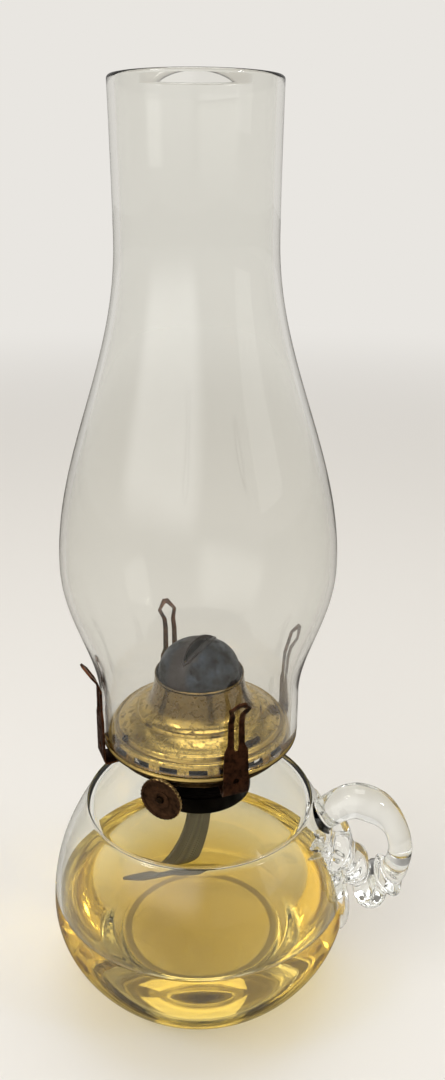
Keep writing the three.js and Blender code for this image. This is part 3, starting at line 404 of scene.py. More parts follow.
floor_round = [
    (FONT_CAVITY_FLOOR_RADIUS + MM, FONT_FLOOR + 0.6 * MM),
    (FONT_CAVITY_FLOOR_RADIUS - 1.5 * MM, FONT_FLOOR + 0.1 * MM),
]
inner_floor = [(r, FONT_FLOOR) for r in reversed(spread(0, FONT_CAVITY_FLAT, 8))]
outline = punt + foot + bowl + bead + crown + neck + inner_crown + cavity + floor_round + inner_floor
font = turn_piece("font_glass", outline)


def pass_lamplight(tree, tint):
    """Lets lamps shine through a clear finish, tinted a little, which stands for the light that real
    glass and oil bend and pass on."""
    shadow = add_node(tree, "ShaderNodeLightPath").outputs["Is Shadow Ray"]
    clear = tree.nodes["Principled BSDF"].outputs[0]
    through = add_node(tree, "ShaderNodeBsdfTransparent", {"Color": linear(tint)})
    both = add_node(tree, "ShaderNodeMixShader", None, _0=shadow, _1=clear, _2=through.outputs[0])
    tree.links.new(both.outputs[0], tree.nodes["Material Output"].inputs["Surface"])


def glass_finish(name, tint, ripple):
    """Blown soda-lime glass, fire-polished, with the slow ripples that blowing leaves."""
    settings = {"Roughness": GLASS_ROUGHNESS, "IOR": GLASS_INDEX, "Transmission Weight": 1}
    finish, tree, shader = new_finish(name, tint, settings)
    place = add_node(tree, "ShaderNodeTexCoord").outputs["Object"]
    waves = add_node(tree, "ShaderNodeTexNoise", {"Scale": 1 / RIPPLE_SIZE, "Detail": 1}, Vector=place)
    settings = {"Strength": 1, "Distance": ripple}
    bump = add_node(tree, "ShaderNodeBump", settings, Height=waves.outputs["Fac"])
    tree.links.new(bump.outputs[0], shader.inputs["Normal"])
    pass_lamplight(tree, tint)
    return finish


font_finish = glass_finish("blown_soda_glass", GLASS_TINT, FONT_RIPPLE)
font.data.materials.append(font_finish)


# Handle
# A gather of hot glass, stuck to the shoulder, looped over and crimped on to the belly, where the last
# of it runs down as a tail. Its skin is laid through rings in code, because no operator follows such a
# change of section. The arm grows out of the bowl, and strap and tail lie a hair off it, to stay bright.
HANDLE_ROUTE_MM = [
    (38.7, 65.9), (42.1, 70.2), (46.1, 73.9), (50.0, 76.5), (54.5, 77.6), (61.3, 75.2), (66.5, 69.4),
    (69.1, 61.6), (68.7, 55.0), (67.0, 50.3), (64.0, 46.8), (60.5, 44.0), (56.9, 46.8), (53.6, 52.3),
    (49.8, 57.0), (45.5, 60.3), (41.5, 63.0), (37.5, 64.5),
]
HANDLE_SECTION_MM = [
    (0.0, 12.0, 13.2), (0.07, 10.2, 12.0), (0.24, 12.0, 12.0), (0.4, 8.0, 9.6), (0.52, 8.0, 10.8),
    (0.6, 9.8, 13.0), (0.675, 11.5, 14.0), (0.775, 7.6, 15.0), (0.875, 8.9, 22.5), (1.0, 12.7, 36.0),
]
CRIMP_CRESTS = (0.53, 0.6, 0.675, 0.775, 0.875, 1.0)
CRIMP_START = 0.54
CRIMP_DEPTH = 1.5 * MM
CRIMP_THROUGH = 0.7
STRAP_SQUARENESS = 0.3
FAN_RIBS = 9
FAN_DEPTH = 0.07
FAN_SPAN = (0.84, 0.98)
HANDLE_RINGS = 170
HANDLE_SIDES = 44
HANDLE_END = 0.9
STRAP_GROWTH = 1.001
HANDLE_SINK = 1.1 * MM
HANDLE_GAP = 0.05 * MM
TAIL_TOP = 59.9 * MM
TAIL_LENGTH = 29.5 * MM
TAIL_WIDTH = 8.5 * MM
TAIL_THICKNESS = 2.7 * MM
TAIL_TAPER = 0.85
TAIL_STAND = (0.65, 0.45)
TAIL_TURN_DEG = (-11, -8)
BOWL_FORM_START = 20 * MM
PATH_STEPS = 24


def smooth_path(points, count):
    """A smooth curve through points, given back as count points at even steps along it."""
    ends = [2 * points[0] - points[1], *points, 2 * points[-1] - points[-2]]
    fine = []
    for a, b, c, d in zip(ends, ends[1:], ends[2:], ends[3:]):
        for t in spread(0, 1 - 1 / PATH_STEPS, PATH_STEPS):
            bend = (2 * a - 5 * b + 4 * c - d) * t * t / 2
            fine.append(b + (c - a) * t / 2 + bend + (3 * b - 3 * c + d - a) * t**3 / 2)
    fine.append(points[-1])
    lengths = [0]
    for p, q in zip(fine, fine[1:]):
        lengths.append(lengths[-1] + (q - p).length)
    even, at = [], 0
    for want in spread(0, lengths[-1], count):
        while at < len(fine) - 2 and lengths[at + 1] < want:
            at += 1
        even.append(fine[at].lerp(fine[at + 1], (want - lengths[at]) / (lengths[at + 1] - lengths[at])))
    return even


def ease(share, low, high):
    """Rises smoothly from 0 to 1 as share goes from low to high."""
    t = min(max((share - low) / (high - low), 0), 1)
    return t * t * (3 - 2 * t)


def section_at(share):
    """The handle's thickness and width at a share of its length."""
    for (a, thick_a, wide_a), (b, thick_b, wide_b) in zip(HANDLE_SECTION_MM, HANDLE_SECTION_MM[1:]):
        if share <= b:
            t = ease(share, a, b)
            break
    return (thick_a + (thick_b - thick_a) * t) * MM, (wide_a + (wide_b - wide_a) * t) * MM


def crimp_at(share):
    """How far the crimping tool's scallops stand out, or in, at a share of the handle's length."""
    for a, b in zip(CRIMP_CRESTS, CRIMP_CRESTS[1:]):
        if share <= b:
            break
    depth = CRIMP_DEPTH * ease(share, CRIMP_START, CRIMP_CRESTS[1])
    return math.cos(2 * math.pi * (share - a) / (b - a)) * depth


def work_on(piece):
    """Makes a piece the only selected one, and the active one."""
    deselect()
    piece.select_set(True)
    bpy.context.view_layer.objects.active = piece


def skin_rings(name, rings):
    """Skins rings of points, all of one count, into a closed mesh."""
    count = len(rings[0])
    vertices = [point for ring in rings for point in ring]
    faces = [list(range(count))[::-1], [len(vertices) - count + i for i in range(count)]]
    for ring in range(len(rings) - 1):
        for side in range(count):
            a, b = ring * count + side, ring * count + (side + 1) % count
            faces.append([a, b, b + count, a + count])
    mesh = bpy.data.meshes.new(name)
    mesh.from_pydata(vertices, [], faces)
    piece = bpy.data.objects.new(name, mesh)
    scene.collection.objects.link(piece)
    work_on(piece)
    bpy.ops.object.mode_set(mode="EDIT")
    bpy.ops.mesh.select_all(action="SELECT")
    bpy.ops.mesh.normals_make_consistent(inside=False)
    bpy.ops.object.mode_set(mode="OBJECT")
    bpy.ops.object.shade_smooth()
    return piece


def boolean(piece, operation, tool):
    """Joins a piece with a tool, or cuts it by the tool, which is used up."""
    work_on(piece)
    step = piece.modifiers.new("boolean", "BOOLEAN")
    step.operation, step.solver, step.object = operation, "EXACT", tool
    bpy.ops.object.modifier_apply(modifier=step.name)
    bpy.data.objects.remove(tool, do_unlink=True)


def ring_round(centre, across, through, power=1, ribs=0, count=HANDLE_SIDES):
    """A ring of points round a centre: an oval, squarer as its power falls, with ribs round it."""
    ring = []
    for i in range(count):
        angle = 2 * math.pi * (i + 0.5) / count
        c, s = math.cos(angle), math.sin(angle)
        out = 1 + ribs * math.cos(FAN_RIBS * 2 * angle)
        side = across * math.copysign(abs(c) ** power, c) * out
        ring.append(centre + side + through * math.copysign(abs(s) ** power, s) * out)
    return ring


route = smooth_path([Vector((x, 0, z)) * MM for x, z in HANDLE_ROUTE_MM], HANDLE_RINGS)
rings = []
for i, centre in enumerate(route):
    share = i / (HANDLE_RINGS - 1)
    along = (route[min(i + 1, HANDLE_RINGS - 1)] - route[max(i - 1, 0)]).normalized()
    across = Vector((0, 1, 0))
    thickness, width = section_at(share)
    wave = crimp_at(share)
    square = ease(share, CRIMP_START, CRIMP_CRESTS[1]) - ease(share, CRIMP_CRESTS[3], 1)
    ribs = FAN_DEPTH * ease(share, *FAN_SPAN)
    through = along.cross(across) * (thickness / 2 + wave * CRIMP_THROUGH)
    power = 1 - square * STRAP_SQUARENESS
    rings.append(ring_round(centre, across * (width / 2 + wave), through, power, ribs))


def shrunk(ring, share):
    """A ring drawn in towards its own centre."""
    centre = sum(ring, Vector()) / len(ring)
    return [centre.lerp(point, share) for point in ring]


# The arm and the strap are two skins, since they run into each other at the font. Each ends inside the
# other at the middle of the loop, and the strap is a hair larger, so that they join cleanly.
middle = HANDLE_RINGS // 2
arm = skin_rings("handle_arm", rings[: middle + 1] + [shrunk(rings[middle + 2], HANDLE_END)])
strap = [shrunk(ring, STRAP_GROWTH) for ring in rings[middle:]]
strap = skin_rings("handle_strap", [shrunk(rings[middle - 2], HANDLE_END)] + strap)

rings = []
for step in spread(0, 1, 30):
    turn = math.radians(TAIL_TURN_DEG[0] + (TAIL_TURN_DEG[1] - TAIL_TURN_DEG[0]) * step)
    outward = Vector((math.cos(turn), math.sin(turn), 0))
    sideways = Vector((-math.sin(turn), math.cos(turn), 0))
    level = TAIL_TOP - step * TAIL_LENGTH
    taper = math.sqrt(1 - TAIL_TAPER * step**4)
    stand = TAIL_THICKNESS * taper * (TAIL_STAND[0] + TAIL_STAND[1] * step)
    centre = outward * font_radius(level) + Vector((0, 0, level))
    rings.append(ring_round(centre, sideways * TAIL_WIDTH / 2 * taper, outward * stand, count=24))
tail = skin_rings("handle_tail", rings)


def bowl_form(stand):
    """The bowl's outer form as a solid, larger all over by a stand."""
    levels = spread(BOWL_FORM_START, FONT_SHOULDER_LEVEL - MM, 50)
    form = [(0, BOWL_FORM_START)] + [(font_radius(z) + stand, z) for z in levels]
    form += [(r, z + stand) for r, z in crown] + [(0, crown_level + stand)]
    return turn_piece("bowl_form", form)


for part, stand in ((strap, HANDLE_GAP), (tail, HANDLE_GAP), (arm, -HANDLE_SINK)):
    boolean(part, "DIFFERENCE", bowl_form(stand))
    boolean(font, "UNION", part)
shade()
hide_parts("glass_font", "glass_handle")
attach(font, "font")


# Lamp oil
# Clear amber paraffin oil, a little under half full. It wets the glass, so its skin lies a hair inside
# the wall and creeps up it at the edge.
OIL_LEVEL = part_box("lamp_oil")[1].z
OIL_WET = 0.12 * MM
OIL_CREEP = 1.1 * MM
OIL_CREEP_FALL = 1.1
OIL_AMBER = "F5DF00"
OIL_DENSITY = 24
OIL_INDEX = 1.44
OIL_LAMPLIGHT = "FBEFC4"
OIL_SURFACE = "FFFFFF"


def dress(piece, finish, node, body):
    """Gives a piece its finish, and lets it stand for a CAD node and ride on the node's body."""
    piece.data.materials.clear()
    piece.data.materials.append(finish)
    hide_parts(node)
    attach(piece, body)


oil_side = [(cavity_radius(z) + OIL_WET, z) for z in spread(FONT_CAVITY_START, OIL_LEVEL, 30)]
oil_floor = [(r, FONT_FLOOR - OIL_WET) for r in spread(0, FONT_CAVITY_FLAT, 6)]
oil_bend = [(r + OIL_WET * 0.5, z - OIL_WET) for r, z in reversed(floor_round)]
edge_radius = cavity_radius(OIL_LEVEL + OIL_CREEP) + OIL_WET
oil_edge = [(edge_radius, OIL_LEVEL + OIL_CREEP)]
for step in spread(0.15, 4, 9):
    oil_edge.append((edge_radius - step * MM, OIL_LEVEL + OIL_CREEP * math.exp(-step / OIL_CREEP_FALL)))
oil_top = [(r, OIL_LEVEL) for r in reversed(spread(0, edge_radius - 6 * MM, 6))]
oil = turn_piece("lamp_oil_amber", oil_floor + oil_bend + oil_side + oil_edge + oil_top)
settings = {"Roughness": 0, "IOR": OIL_INDEX, "Transmission Weight": 1}
oil_finish, tree, shader = new_finish("paraffin_oil", OIL_SURFACE, settings)
settings = {"Color": linear(OIL_AMBER), "Density": OIL_DENSITY}
absorb = add_node(tree, "ShaderNodeVolumeAbsorption", settings)
tree.links.new(absorb.outputs[0], tree.nodes["Material Output"].inputs["Volume"])
pass_lamplight(tree, OIL_LAMPLIGHT)
dress(oil, oil_finish, "lamp_oil", "font")


# Collar and plaster
# The collar is thin spun brass with a rolled thread, painted near-black for the shade under the
# gallery, and white plaster holds it on the neck.
COLLAR_SHADE_BLACK = ("17130F", "0B0A09")
BRASS_AGED = ("9A8450", "4A3D22")
BRASS_DARK = ("3B2B1C", "1E1712")
TARNISH_EDGE = 0.12
TARNISH_DULLS = 0.3
DULLEST = 0.9
CREASE_SHADE_REACH = 2.5 * MM
CREASE_SHADE_SPAN = (0.95, 0.45)
GRAIN_SIZE = 1.2 * MM
PLASTER_WHITE = "CFC7B6"
PLASTER_GREY = "8F8674"
PLASTER_SPECK = 1.5 * MM
CAD_WELD = 0.002 * MM
CAD_FLAT_DEG = 0.5
CAD_SHARP_DEG = 35


def metal_finish(name, tones, spread_mm, roughness, share=0.5, crease_shade=0.6, bump_mm=0.02):
    """Sheet brass with patches of tarnish: a noise of a real size in millimetres mixes bright metal with
    dark oxide, the creases, found by ambient occlusion, are darkened as painted shade, and where it is
    dark it is duller too."""
    finish, tree, shader = new_finish(name, tones[0], {"Metallic": 1})
    place = add_node(tree, "ShaderNodeTexCoord").outputs["Object"]
    settings = {"Scale": 1 / (spread_mm * MM), "Detail": 8, "Roughness": 0.65}
    patches = add_node(tree, "ShaderNodeTexNoise", settings, Vector=place)
    settings = {"From Min": share - TARNISH_EDGE, "From Max": share + TARNISH_EDGE}
    grime = add_node(tree, "ShaderNodeMapRange", settings, Value=patches.outputs["Fac"])
    # Painted shade: ambient occlusion darkens the creases with the oxide colour
    settings = {"only_local": True, "samples": 4, "Distance": CREASE_SHADE_REACH}
    hidden = add_node(tree, "ShaderNodeAmbientOcclusion", settings)
    settings = {"From Min": CREASE_SHADE_SPAN[0], "From Max": CREASE_SHADE_SPAN[1], "To Max": crease_shade}
    corner = add_node(tree, "ShaderNodeMapRange", settings, Value=hidden.outputs["AO"])
    tarnish_and_shade = either(tree, grime.outputs[0], corner.outputs[0])
    overlay(tree, tarnish_and_shade, tones[1])
    settings = {"To Min": roughness, "To Max": min(roughness + TARNISH_DULLS, DULLEST)}
    dull = add_node(tree, "ShaderNodeMapRange", settings, Value=tarnish_and_shade)
    tree.links.new(dull.outputs[0], shader.inputs["Roughness"])
    grain = add_node(tree, "ShaderNodeTexNoise", {"Scale": 1 / GRAIN_SIZE, "Detail": 3}, Vector=place)
    settings = {"Strength": 0.6, "Distance": bump_mm * MM}
    bump = add_node(tree, "ShaderNodeBump", settings, Height=grain.outputs["Fac"])
    tree.links.new(bump.outputs[0], shader.inputs["Normal"])
    return finish


def refine(node, name, body, finish, bevel_mm=0.12):
    """Copies a CAD node's shape, welds it, rounds its edges and shades it smooth, and lets it stand for
    the node."""
    piece = frame["nodes"][node].copy()
    piece.data = piece.data.copy()
    piece.name = piece.data.name = name
    piece.parent = None
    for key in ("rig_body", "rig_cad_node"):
        if key in piece:
            del piece[key]
    scene.collection.objects.link(piece)
    work_on(piece)
    bpy.ops.object.mode_set(mode="EDIT")
    bpy.ops.mesh.select_all(action="SELECT")
    bpy.ops.mesh.remove_doubles(threshold=CAD_WELD)
    bpy.ops.mesh.dissolve_limited(angle_limit=math.radians(CAD_FLAT_DEG))
    bpy.ops.object.mode_set(mode="OBJECT")
    rounding = piece.modifiers.new("rounded_edges", "BEVEL")
    rounding.width = bevel_mm * MM
    rounding.segments = 2
    rounding.limit_method = "ANGLE"
    rounding.angle_limit = math.radians(CAD_SHARP_DEG)
    bpy.ops.object.modifier_apply(modifier=rounding.name)
    shade(CAD_SHARP_DEG)
    dress(piece, finish, node, body)
    return piece


# Painted shade: this near-black brass stands for the shade under the gallery, on the collar, shell and
# cup
shade_black_brass = metal_finish("shade_blackened_brass", COLLAR_SHADE_BLACK, 6, 0.42)
aged_brass = metal_finish("aged_brass", BRASS_AGED, 5, 0.26)
dark_brass = metal_finish("brown_tarnished_brass", BRASS_DARK, 4, 0.4)

collar_low, collar_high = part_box("font_collar")
collar_radius = collar_high.y
THREAD_INSIDE = 15.9 * MM
THREAD_WALL = 0.6 * MM
THREAD_PITCH = 1.4 * MM
THREAD_HEIGHT = 0.22 * MM
COLLAR_THREADS = 3
COLLAR_FOOT_ROUND = 0.25 * MM
COLLAR_STEP_ROUND = 0.6 * MM
COLLAR_LIP_ROUND = 0.4 * MM
waist = font_top + 0.3 * MM


def rolled_thread(radius, low, threads):
    """The outline of rolled threads, a wave about a radius."""
    points = []
    for i in range(threads * 8 + 1):
        out = radius + THREAD_HEIGHT * math.sin(2 * math.pi * i / 8)
        points.append((out, low + THREAD_PITCH * i / 8))
    return points


collar_outline = [(collar_radius - THREAD_WALL, collar_low.z)]
size = COLLAR_FOOT_ROUND
collar_outline += quarter(collar_radius - size, collar_low.z + size, size, -90, 0, 4)
size = COLLAR_STEP_ROUND
collar_outline += quarter(collar_radius - size, waist - 0.1 * MM, size, 0, 60, 5)
collar_outline += rolled_thread(THREAD_INSIDE + THREAD_WALL, waist + 0.5 * MM, COLLAR_THREADS)
size = COLLAR_LIP_ROUND
collar_outline += quarter(collar_radius - size, collar_high.z - size, size, -60, 90, 7)
collar_outline += [(THREAD_INSIDE + 0.1 * MM, collar_high.z), (THREAD_INSIDE, collar_high.z - 0.1 * MM)]
collar_outline += [(THREAD_INSIDE, waist), (collar_radius - THREAD_WALL, waist - THREAD_WALL)]
collar = turn_piece("collar_brass", collar_outline + collar_outline[:1], 96)
dress(collar, shade_black_brass, "font_collar", "font")

plaster, tree, shader = new_finish("plaster_of_paris", PLASTER_WHITE, {"Roughness": 0.95})
place = add_node(tree, "ShaderNodeTexCoord").outputs["Object"]
specks = add_node(tree, "ShaderNodeTexNoise", {"Scale": 1 / PLASTER_SPECK, "Detail": 5}, Vector=place)
overlay(tree, specks.outputs["Fac"], PLASTER_GREY)
refine("collar_plaster", "plaster_ring", "font", plaster, 0.2)


# Burner body
# Thin spun brass: the threaded shell and the cup under the gallery are painted near-black for the shade
# they lie in, and the pan has a rolled rim, air holes in its floor and a hole for each prong's rivet.
PAN_RADIUS = 29.4 * MM
PAN_SHEET = 0.8 * MM
PAN_THROAT = 14.2 * MM
PAN_ROUND = 0.4 * MM
PAN_BRASS = ("66502D", "2A1E13")
PAN_INSIDE_SHADE = "0B0A09"
PAN_INSIDE_SHADE_EDGE = (0.15 * MM, 0.05 * MM)
RIM_ROUND = 0.8 * MM
RIM_HIGHLIGHT = "C0A462"
RIM_HIGHLIGHT_RISE = (0.1 * MM, 0.4 * MM)
AIR_HOLES = 16
AIR_HOLE_RADIUS = 1.5 * MM
AIR_HOLE_CIRCLE = 22.95 * MM
RIVET_CIRCLE = 25.8 * MM
RIVET_HOLE_RADIUS = 1.4 * MM
PRONG_FIRST_DEG = -61
BURNER_TURN_DEG = -108

# Painted shade: shell and cup get the near-black brass
refine("screw_shell", "thread_shell", "thread", shade_black_brass, 0.1)
refine("burner_cup", "cup_brass", "burner", shade_black_brass, 0.1)

pan_low, pan_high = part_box("gallery_pan")
floor_top = pan_low.z + PAN_SHEET
inner = PAN_RADIUS - PAN_SHEET
rim_centre = (pan_high.y - RIM_ROUND, pan_high.z - RIM_ROUND)
pan_outline = [(PAN_THROAT, pan_low.z)]
pan_outline += quarter(PAN_RADIUS - PAN_SHEET, pan_low.z + PAN_SHEET, PAN_SHEET, -90, 0, 6)
below_rim = rim_centre[1] - RIM_ROUND - PAN_ROUND
pan_outline += quarter(PAN_RADIUS + PAN_ROUND, below_rim, PAN_ROUND, 180, 90, 4)
pan_outline += quarter(*rim_centre, RIM_ROUND, -90, 90, 12)
pan_outline += [(inner - 0.2 * MM, pan_high.z), (inner - 0.2 * MM, pan_high.z - PAN_SHEET)]
pan_outline += [(inner, pan_high.z - 1.4 * PAN_SHEET), (inner, floor_top + PAN_ROUND)]
pan_outline += quarter(inner - PAN_ROUND, floor_top + PAN_ROUND, PAN_ROUND, 0, -90, 4)
pan_outline += [(PAN_THROAT, floor_top), (PAN_THROAT, pan_low.z)]
pan = turn_piece("pan_brass", pan_outline)


def punches(name, circle, turns_deg, radius, low, high):
    """Round punches standing on a circle, as one tool."""
    deselect()
    made = []
    for turn_deg in turns_deg:
        angle = math.radians(turn_deg)
        spot = (circle * math.cos(angle), circle * math.sin(angle), (low + high) / 2)
        bpy.ops.mesh.primitive_cylinder_add(vertices=20, radius=radius, depth=high - low, location=spot)
        made.append(bpy.context.object)
    return joined(name, made)


def joined(name, parts):
    """Several pieces made one, at the origin."""
    deselect()
    for part in parts:
        part.select_set(True)
    bpy.context.view_layer.objects.active = parts[0]
    if len(parts) > 1:
        bpy.ops.object.join()
    bpy.ops.object.transform_apply(location=True, rotation=True, scale=True)
    parts[0].name = parts[0].data.name = name
    return parts[0]


through = (pan_low.z - MM, floor_top + MM)
turns_deg = [PRONG_FIRST_DEG + (i + 0.5) * 360 / AIR_HOLES for i in range(AIR_HOLES)]
boolean(pan, "DIFFERENCE", punches("air_punch", AIR_HOLE_CIRCLE, turns_deg, AIR_HOLE_RADIUS, *through))
turns_deg = [PRONG_FIRST_DEG + i * 90 for i in range(4)]
boolean(pan, "DIFFERENCE", punches("rivet_punch", RIVET_CIRCLE, turns_deg, RIVET_HOLE_RADIUS, *through))
shade()

# The rolled rim gets a painted highlight along its top, and the pan is painted near-black inside as
# shade
pan_finish = metal_finish("pan_brass", PAN_BRASS, 4, 0.32, 0.48)
tree = pan_finish.node_tree
place = add_node(tree, "ShaderNodeTexCoord").outputs["Object"]
height = add_node(tree, "ShaderNodeSeparateXYZ", None, Vector=place).outputs["Z"]
# Painted highlight: the top of the rolled rim is made brighter
overlay(tree, height, RIM_HIGHLIGHT, *(rim_centre[1] + rise for rise in RIM_HIGHLIGHT_RISE))
# Painted shade: the pan's floor and inner wall, inside its rim, are made near-black
level = add_node(tree, "ShaderNodeVectorMath", {"operation": "MULTIPLY", 1: (1, 1, 0)}, _0=place)
out = add_node(tree, "ShaderNodeVectorMath", {"operation": "LENGTH"}, _0=level.outputs[0])
overlay(tree, out.outputs["Value"], PAN_INSIDE_SHADE, *(inner + edge for edge in PAN_INSIDE_SHADE_EDGE))
dress(pan, pan_finish, "gallery_pan", "burner")
refine("wick_tube", "wick_sleeve", "burner", aged_brass, 0.2)
refine("shaft_ferrule", "ferrule_brass", "burner", dark_brass, 0.08)
refine("shaft_bracket", "bracket_brass", "burner", dark_brass, 0.1)


# Wick raiser
# A wire shaft through the cup's side turns three small spurs that bite the wick. The knurled thumb
# wheel on its end is brown with handling, and its rim is worn bright and painted brighter as a
# highlight.
WHEEL_RIM_SHARE = 0.87
WHEEL_BROWN = ("74533A", "38261A")
WHEEL_WORN_HIGHLIGHT = ("B39460", "4A3622")

refine("wick_shaft", "raiser_shaft", "wick_wheel", dark_brass, 0.1)
handled_brass = metal_finish("handled_brown_brass", WHEEL_BROWN, 3, 0.42, 0.52, 0.85)
wheel = refine("thumb_wheel", "raiser_wheel", "wick_wheel", handled_brass, 0.08)
# Worn rim with a painted highlight: the rim faces get a brighter brass
wheel.data.materials.append(metal_finish("worn_highlight_brass_rim", WHEEL_WORN_HIGHLIGHT, 2, 0.3, 0.62))
wheel_low, wheel_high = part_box("thumb_wheel")
wheel_middle = (wheel_low + wheel_high) / 2
axle = Vector((math.cos(math.radians(BURNER_TURN_DEG)), math.sin(math.radians(BURNER_TURN_DEG)), 0))
for face in wheel.data.polygons:
    arm = face.center - wheel_middle
    if (arm - axle * arm.dot(axle)).length > WHEEL_RIM_SHARE * (wheel_high.z - wheel_low.z) / 2:
        face.material_index = 1
for number in (1, 2, 3):
    refine(f"spur_wheel_{number}", f"raiser_spur_{number}", "wick_wheel", aged_brass, 0.06)


# Hood
# One sheet of brass spun over a former: a slotted skirt, two rolled ribs, a broad swelling, a step and
# a steep neck with a turned edge. It is mottled with old polish, heat and damp, and keeps a small
# punched hole and a curled tab on its slope.
HOOD_SHEET = 0.5 * MM
HOOD_OUTLINE_MM = [
    (29.3, 0.1), (29.3, 2.1), (29.25, 2.45), (29.0, 2.9), (28.6, 3.2), (28.15, 3.3), (27.8, 3.15),
    (27.5, 3.0), (27.2, 3.12), (26.95, 3.5), (26.85, 3.95), (26.6, 4.35), (26.2, 4.58), (25.85, 4.6),
    (25.5, 4.75), (25.0, 5.15), (24.3, 5.65), (23.4, 6.2), (22.5, 6.65), (21.6, 7.0), (20.9, 7.2),
    (20.55, 7.35), (20.4, 7.7), (20.3, 8.15), (20.05, 8.45), (19.6, 8.52), (19.1, 8.62), (18.3, 9.0),
    (17.5, 9.6), (16.9, 10.3), (16.45, 11.2), (16.1, 12.2), (15.7, 13.5), (15.25, 15.2), (14.9, 17.2),
    (14.6, 18.9),
]
HOOD_EDGE_MM = [(14.6, 19.6), (14.7, 20.05), (14.6, 20.35), (14.35, 20.45), (14.1, 20.2)]
HOOD_SLOTS = 20
SLOT_SIZE_MM = (2.4, 5.6, 1.3)
SLOT_RISE = 1.1 * MM
DOME_SEAT_RISE = 15.98 * MM
DOME_LEDGE_DROP = 0.3 * MM
DOME_LEDGE_MM = [(14.1, 0.2), (12.8, 0.0), (12.8, -0.5), (14.3, -0.6)]
HOOD_HOLE_DEG = -139
HOOD_HOLE_CIRCLE = 27.1 * MM
HOOD_HOLE_RISE = 3.4 * MM
HOOD_HOLE_RADIUS = 0.9 * MM
HOLE_PUNCH_RISE = (1.5 * MM, 6 * MM)
TAB_DEG = (-46.5, -34.3)
TAB_CIRCLE = 25.3 * MM
TAB_RISE = 5.6 * MM
TAB_ROLL = 0.75 * MM
EYELET_TILT_DEG = 50
EYELET_RADIUS = 1.1 * MM
EYELET_WIRE = 0.35 * MM
HOOD_BRASS = ("C4A75C", "54401F")
NECK_BROWN = "5A472E"
NECK_BROWN_RISE = (9 * MM, 12 * MM)
NECK_BROWN_SHARE = 0.75

hood_low, hood_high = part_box("burner_hood")


def inner_line(points, wall):
    """A line that follows another at a wall's thickness on its left, inside the sheet."""
    line = []
    for i, (x, y) in enumerate(points):
        (a, b), (c, d) = points[max(i - 1, 0)], points[min(i + 1, len(points) - 1)]
        length = math.hypot(c - a, d - b)
        line.append((x - (d - b) / length * wall, y + (c - a) / length * wall))
    return line


hood_line = [(r * MM, hood_low.z + h * MM) for r, h in HOOD_OUTLINE_MM]
hood_edge = [(r * MM, hood_low.z + h * MM) for r, h in HOOD_EDGE_MM]
under = inner_line(hood_line, HOOD_SHEET)[::-1]
ledge = hood_low.z + DOME_SEAT_RISE - DOME_LEDGE_DROP
step = [(r * MM, ledge + h * MM) for r, h in DOME_LEDGE_MM]
above = [point for point in under if point[1] > ledge + 0.6 * MM]
below = [point for point in under if point[1] < ledge - 0.8 * MM]
hood = turn_piece("hood_brass", hood_line + hood_edge + above + step + below + hood_line[:1])
cutters = []
for i in range(HOOD_SLOTS):
    angle = math.radians(BURNER_TURN_DEG + (i + 0.5) * 360 / HOOD_SLOTS)
    outward = Vector((math.cos(angle), math.sin(angle), 0))
    spot = outward * hood_high.y + Vector((0, 0, hood_low.z + SLOT_RISE))
    bpy.ops.mesh.primitive_cube_add(size=1, location=spot, rotation=(0, 0, angle))
    bpy.context.object.scale = Vector(SLOT_SIZE_MM) * MM
    cutters.append(bpy.context.object)
boolean(hood, "DIFFERENCE", joined("slot_cutter", cutters))
through = [hood_low.z + rise for rise in HOLE_PUNCH_RISE]
punch = punches("hole_punch", HOOD_HOLE_CIRCLE, [HOOD_HOLE_DEG], HOOD_HOLE_RADIUS, *through)
boolean(hood, "DIFFERENCE", punch)
shade()
mottled_brass = metal_finish("mottled_polished_brass", HOOD_BRASS, 1.7, 0.17, 0.6, 0.9, 0.04)
tree = mottled_brass.node_tree
place = add_node(tree, "ShaderNodeTexCoord").outputs["Object"]
height = add_node(tree, "ShaderNodeSeparateXYZ", None, Vector=place).outputs["Z"]
start, full = (hood_low.z + rise for rise in NECK_BROWN_RISE)
overlay(tree, height, NECK_BROWN, start, full, NECK_BROWN_SHARE)
dress(hood, mottled_brass, "burner_hood", "hood")
# Painted shade: faces under and inside the hood get the near-black brass
hood.data.materials.append(shade_black_brass)
for face in hood.data.polygons:
    outward = face.normal.xy.dot(face.center.xy.normalized())
    if face.normal.z < -0.1 or (outward < -0.5 and face.normal.z < 0.5):
        face.material_index = 1

# The curled tab is a small roll of the sheet, lying along the slope, and an eyelet lines the hole
rings = []
for angle in spread(math.radians(TAB_DEG[0]), math.radians(TAB_DEG[1]), 14):
    outward = Vector((math.cos(angle), math.sin(angle), 0))
    centre = outward * TAB_CIRCLE + Vector((0, 0, hood_low.z + TAB_RISE))
    size = TAB_ROLL * (1 + 0.12 * math.sin(angle * 40))
    rings.append(ring_round(centre, outward * size, Vector((0, 0, size)), count=14))
tab = skin_rings("hood_tab", rings)
angle = math.radians(HOOD_HOLE_DEG)
x, y = HOOD_HOLE_CIRCLE * math.cos(angle), HOOD_HOLE_CIRCLE * math.sin(angle)
spot = Vector((x, y, hood_low.z + HOOD_HOLE_RISE))
tilt = (0, math.radians(EYELET_TILT_DEG), angle)
sizes = {"major_radius": EYELET_RADIUS, "minor_radius": EYELET_WIRE}
bpy.ops.mesh.primitive_torus_add(location=spot, rotation=tilt, **sizes)
tab = joined("hood_tab", [tab, bpy.context.object])
tab.data.materials.append(dark_brass)
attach(tab, "hood")


